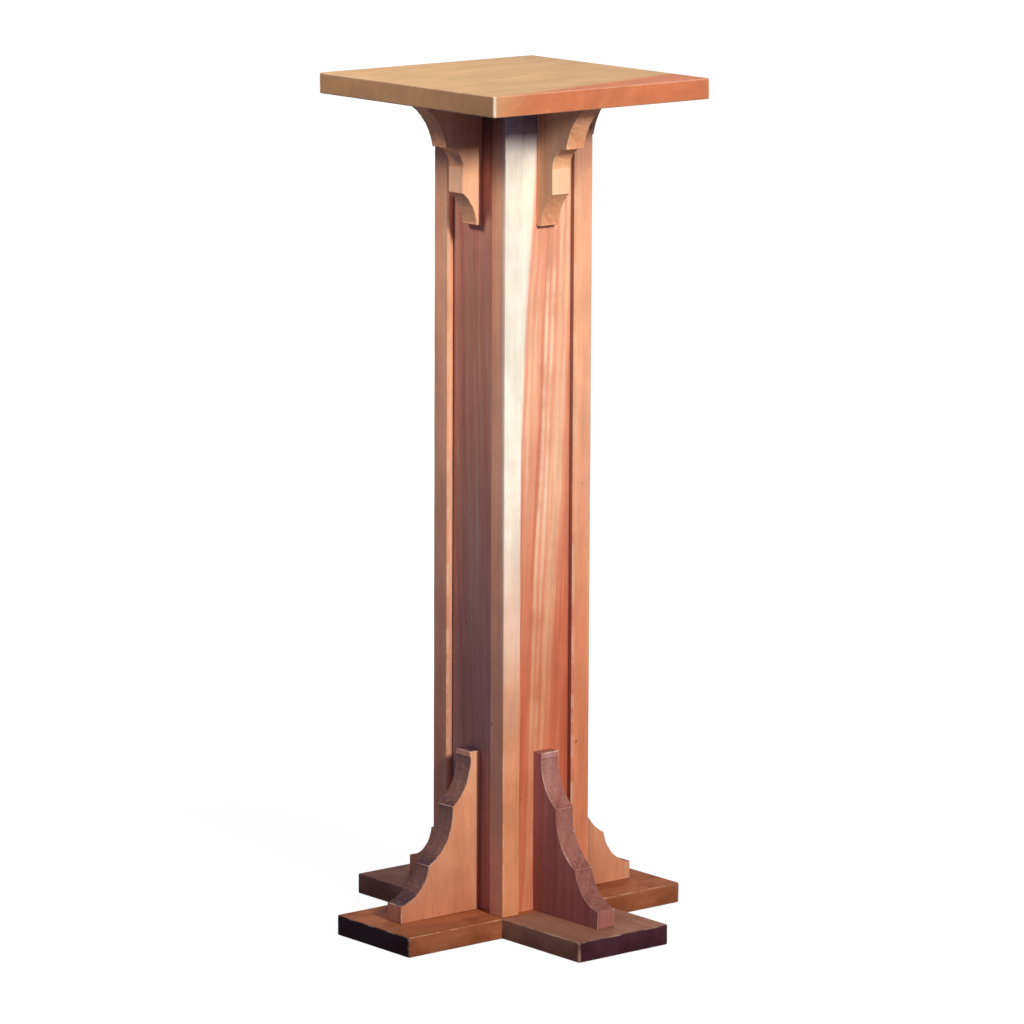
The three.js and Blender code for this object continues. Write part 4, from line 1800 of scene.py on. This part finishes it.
@dataclass(frozen=True)
class Studio:
    """Pale floor and white surroundings.

    Attributes:
        fill: Colour of the surroundings' light on the object.
        fill_strength: Its strength.
        rings: Radii of the floor's rings of points.
        ring_sides: Points in each ring.
        drop: How far the floor lies under the stand.
        glow: Strength of the white that the floor fades into.
    """

    fill: str = "A8B0FF"
    fill_strength: float = 0.25
    rings: tuple[float, ...] = (0.6, 1.6, 4.0, 12.0, 40.0)
    ring_sides: int = 64
    drop: float = 0.5 * MM
    glow: float = 1.09

    def build(self) -> None:
        """Makes everything that isn't part of the stand."""
        self._floor()
        self._world()
        for lamp in LAMPS:
            lamp.hang()
        Camera().set_up()

    @staticmethod
    def _seen_rays(sheet: Sheet) -> Socket:
        """Tells rays that show the surroundings from those that light the object.

        Args:
            sheet: The sheet to work on.

        Returns:
            1 for rays from the camera, off gloss or through glass, else 0.
        """
        path = sheet.node("ShaderNodeLightPath").outputs
        seen = sheet.math("MAXIMUM", path["Is Camera Ray"], path["Is Glossy Ray"])
        return sheet.math("MAXIMUM", seen, path["Is Transmission Ray"])

    def _world(self) -> None:
        """Makes surroundings that are white where seen, with a cool fill on the object."""
        world = bpy.data.worlds.new("studio")
        world.use_nodes = True
        sheet = Sheet(world.node_tree)
        background = next(n for n in sheet.tree.nodes if n.type == "BACKGROUND")
        seen = self._seen_rays(sheet)
        sheet.feed(background.inputs["Color"], sheet.blend(seen, linear(self.fill), linear("FFFFFF")))
        strength = sheet.step(seen, 0.0, 1.0, self.fill_strength, 1.0)
        sheet.feed(background.inputs["Strength"], strength)
        bpy.context.scene.world = world

    def _floor(self) -> None:
        """Makes a wide pale floor that keeps the stand's soft shadow and fades into the white.

        It is flat rings of points round the column, joined by faces, with one face inside.
        """
        flat = (np.array(self.rings)[:, None, None] * unit_circle(self.ring_sides)).reshape(-1, 2)
        points = np.concatenate([flat, np.full((len(flat), 1), -self.drop)], axis=1)
        faces = ring_quads(len(self.rings), self.ring_sides)[:, ::-1].tolist()
        mesh = bpy.data.meshes.new("floor")
        mesh.from_pydata(points.tolist(), [], faces + [list(range(self.ring_sides))])
        floor = bpy.data.objects.new("floor", mesh)
        bpy.context.scene.collection.objects.link(floor)
        mesh.materials.append(self._floor_material())

    def _floor_material(self) -> bpy.types.Material:
        """The floor's finish: dull and pale, and glowing white where it is seen.

        The glow's share rises from 0.88 at the stand to 1 by 1.5 m from it.

        Returns:
            The material.
        """
        material = bpy.data.materials.new("floor")
        material.use_nodes = True
        sheet = Sheet(material.node_tree)
        sheet.tree.nodes.clear()
        position = sheet.node("ShaderNodeTexCoord").outputs["Object"]
        speckle = sheet.step(sheet.noise(position, scale=9.0, detail=4.0), 0.2, 0.8)
        pale = sheet.blend(speckle, linear("F1F0EE"), linear("F6F5F3"))
        seen = self._seen_rays(sheet)
        diffuse = sheet.node("ShaderNodeBsdfDiffuse", sheet.blend(seen, linear("84848C"), pale))
        glow = sheet.node("ShaderNodeEmission")
        glow.inputs["Strength"].default_value = self.glow
        away = sheet.step(sheet.scalar("LENGTH", position), 0.5, 1.5, 0.88, 1.0)
        share = sheet.times(away, seen)
        mixed = sheet.node("ShaderNodeMixShader", share, diffuse.outputs[0], glow.outputs[0])
        sheet.node("ShaderNodeOutputMaterial", mixed.outputs[0])
        return material


def main() -> None:
    """Builds the dressed stand and the studio round it, and reports each piece."""
    logging.basicConfig(level=logging.INFO, format="%(name)s %(message)s")
    bpy.context.scene.view_settings.view_transform = "Standard"
    groups = Groups()
    for assembly in (Column(groups), Brackets(groups), Base(groups), Top(groups), Fixings(groups)):
        for piece in assembly.build():
            log.info("%s: %d faces", piece.name, len(piece.data.polygons))
    Studio().build()


if __name__ == "__main__":
    main()
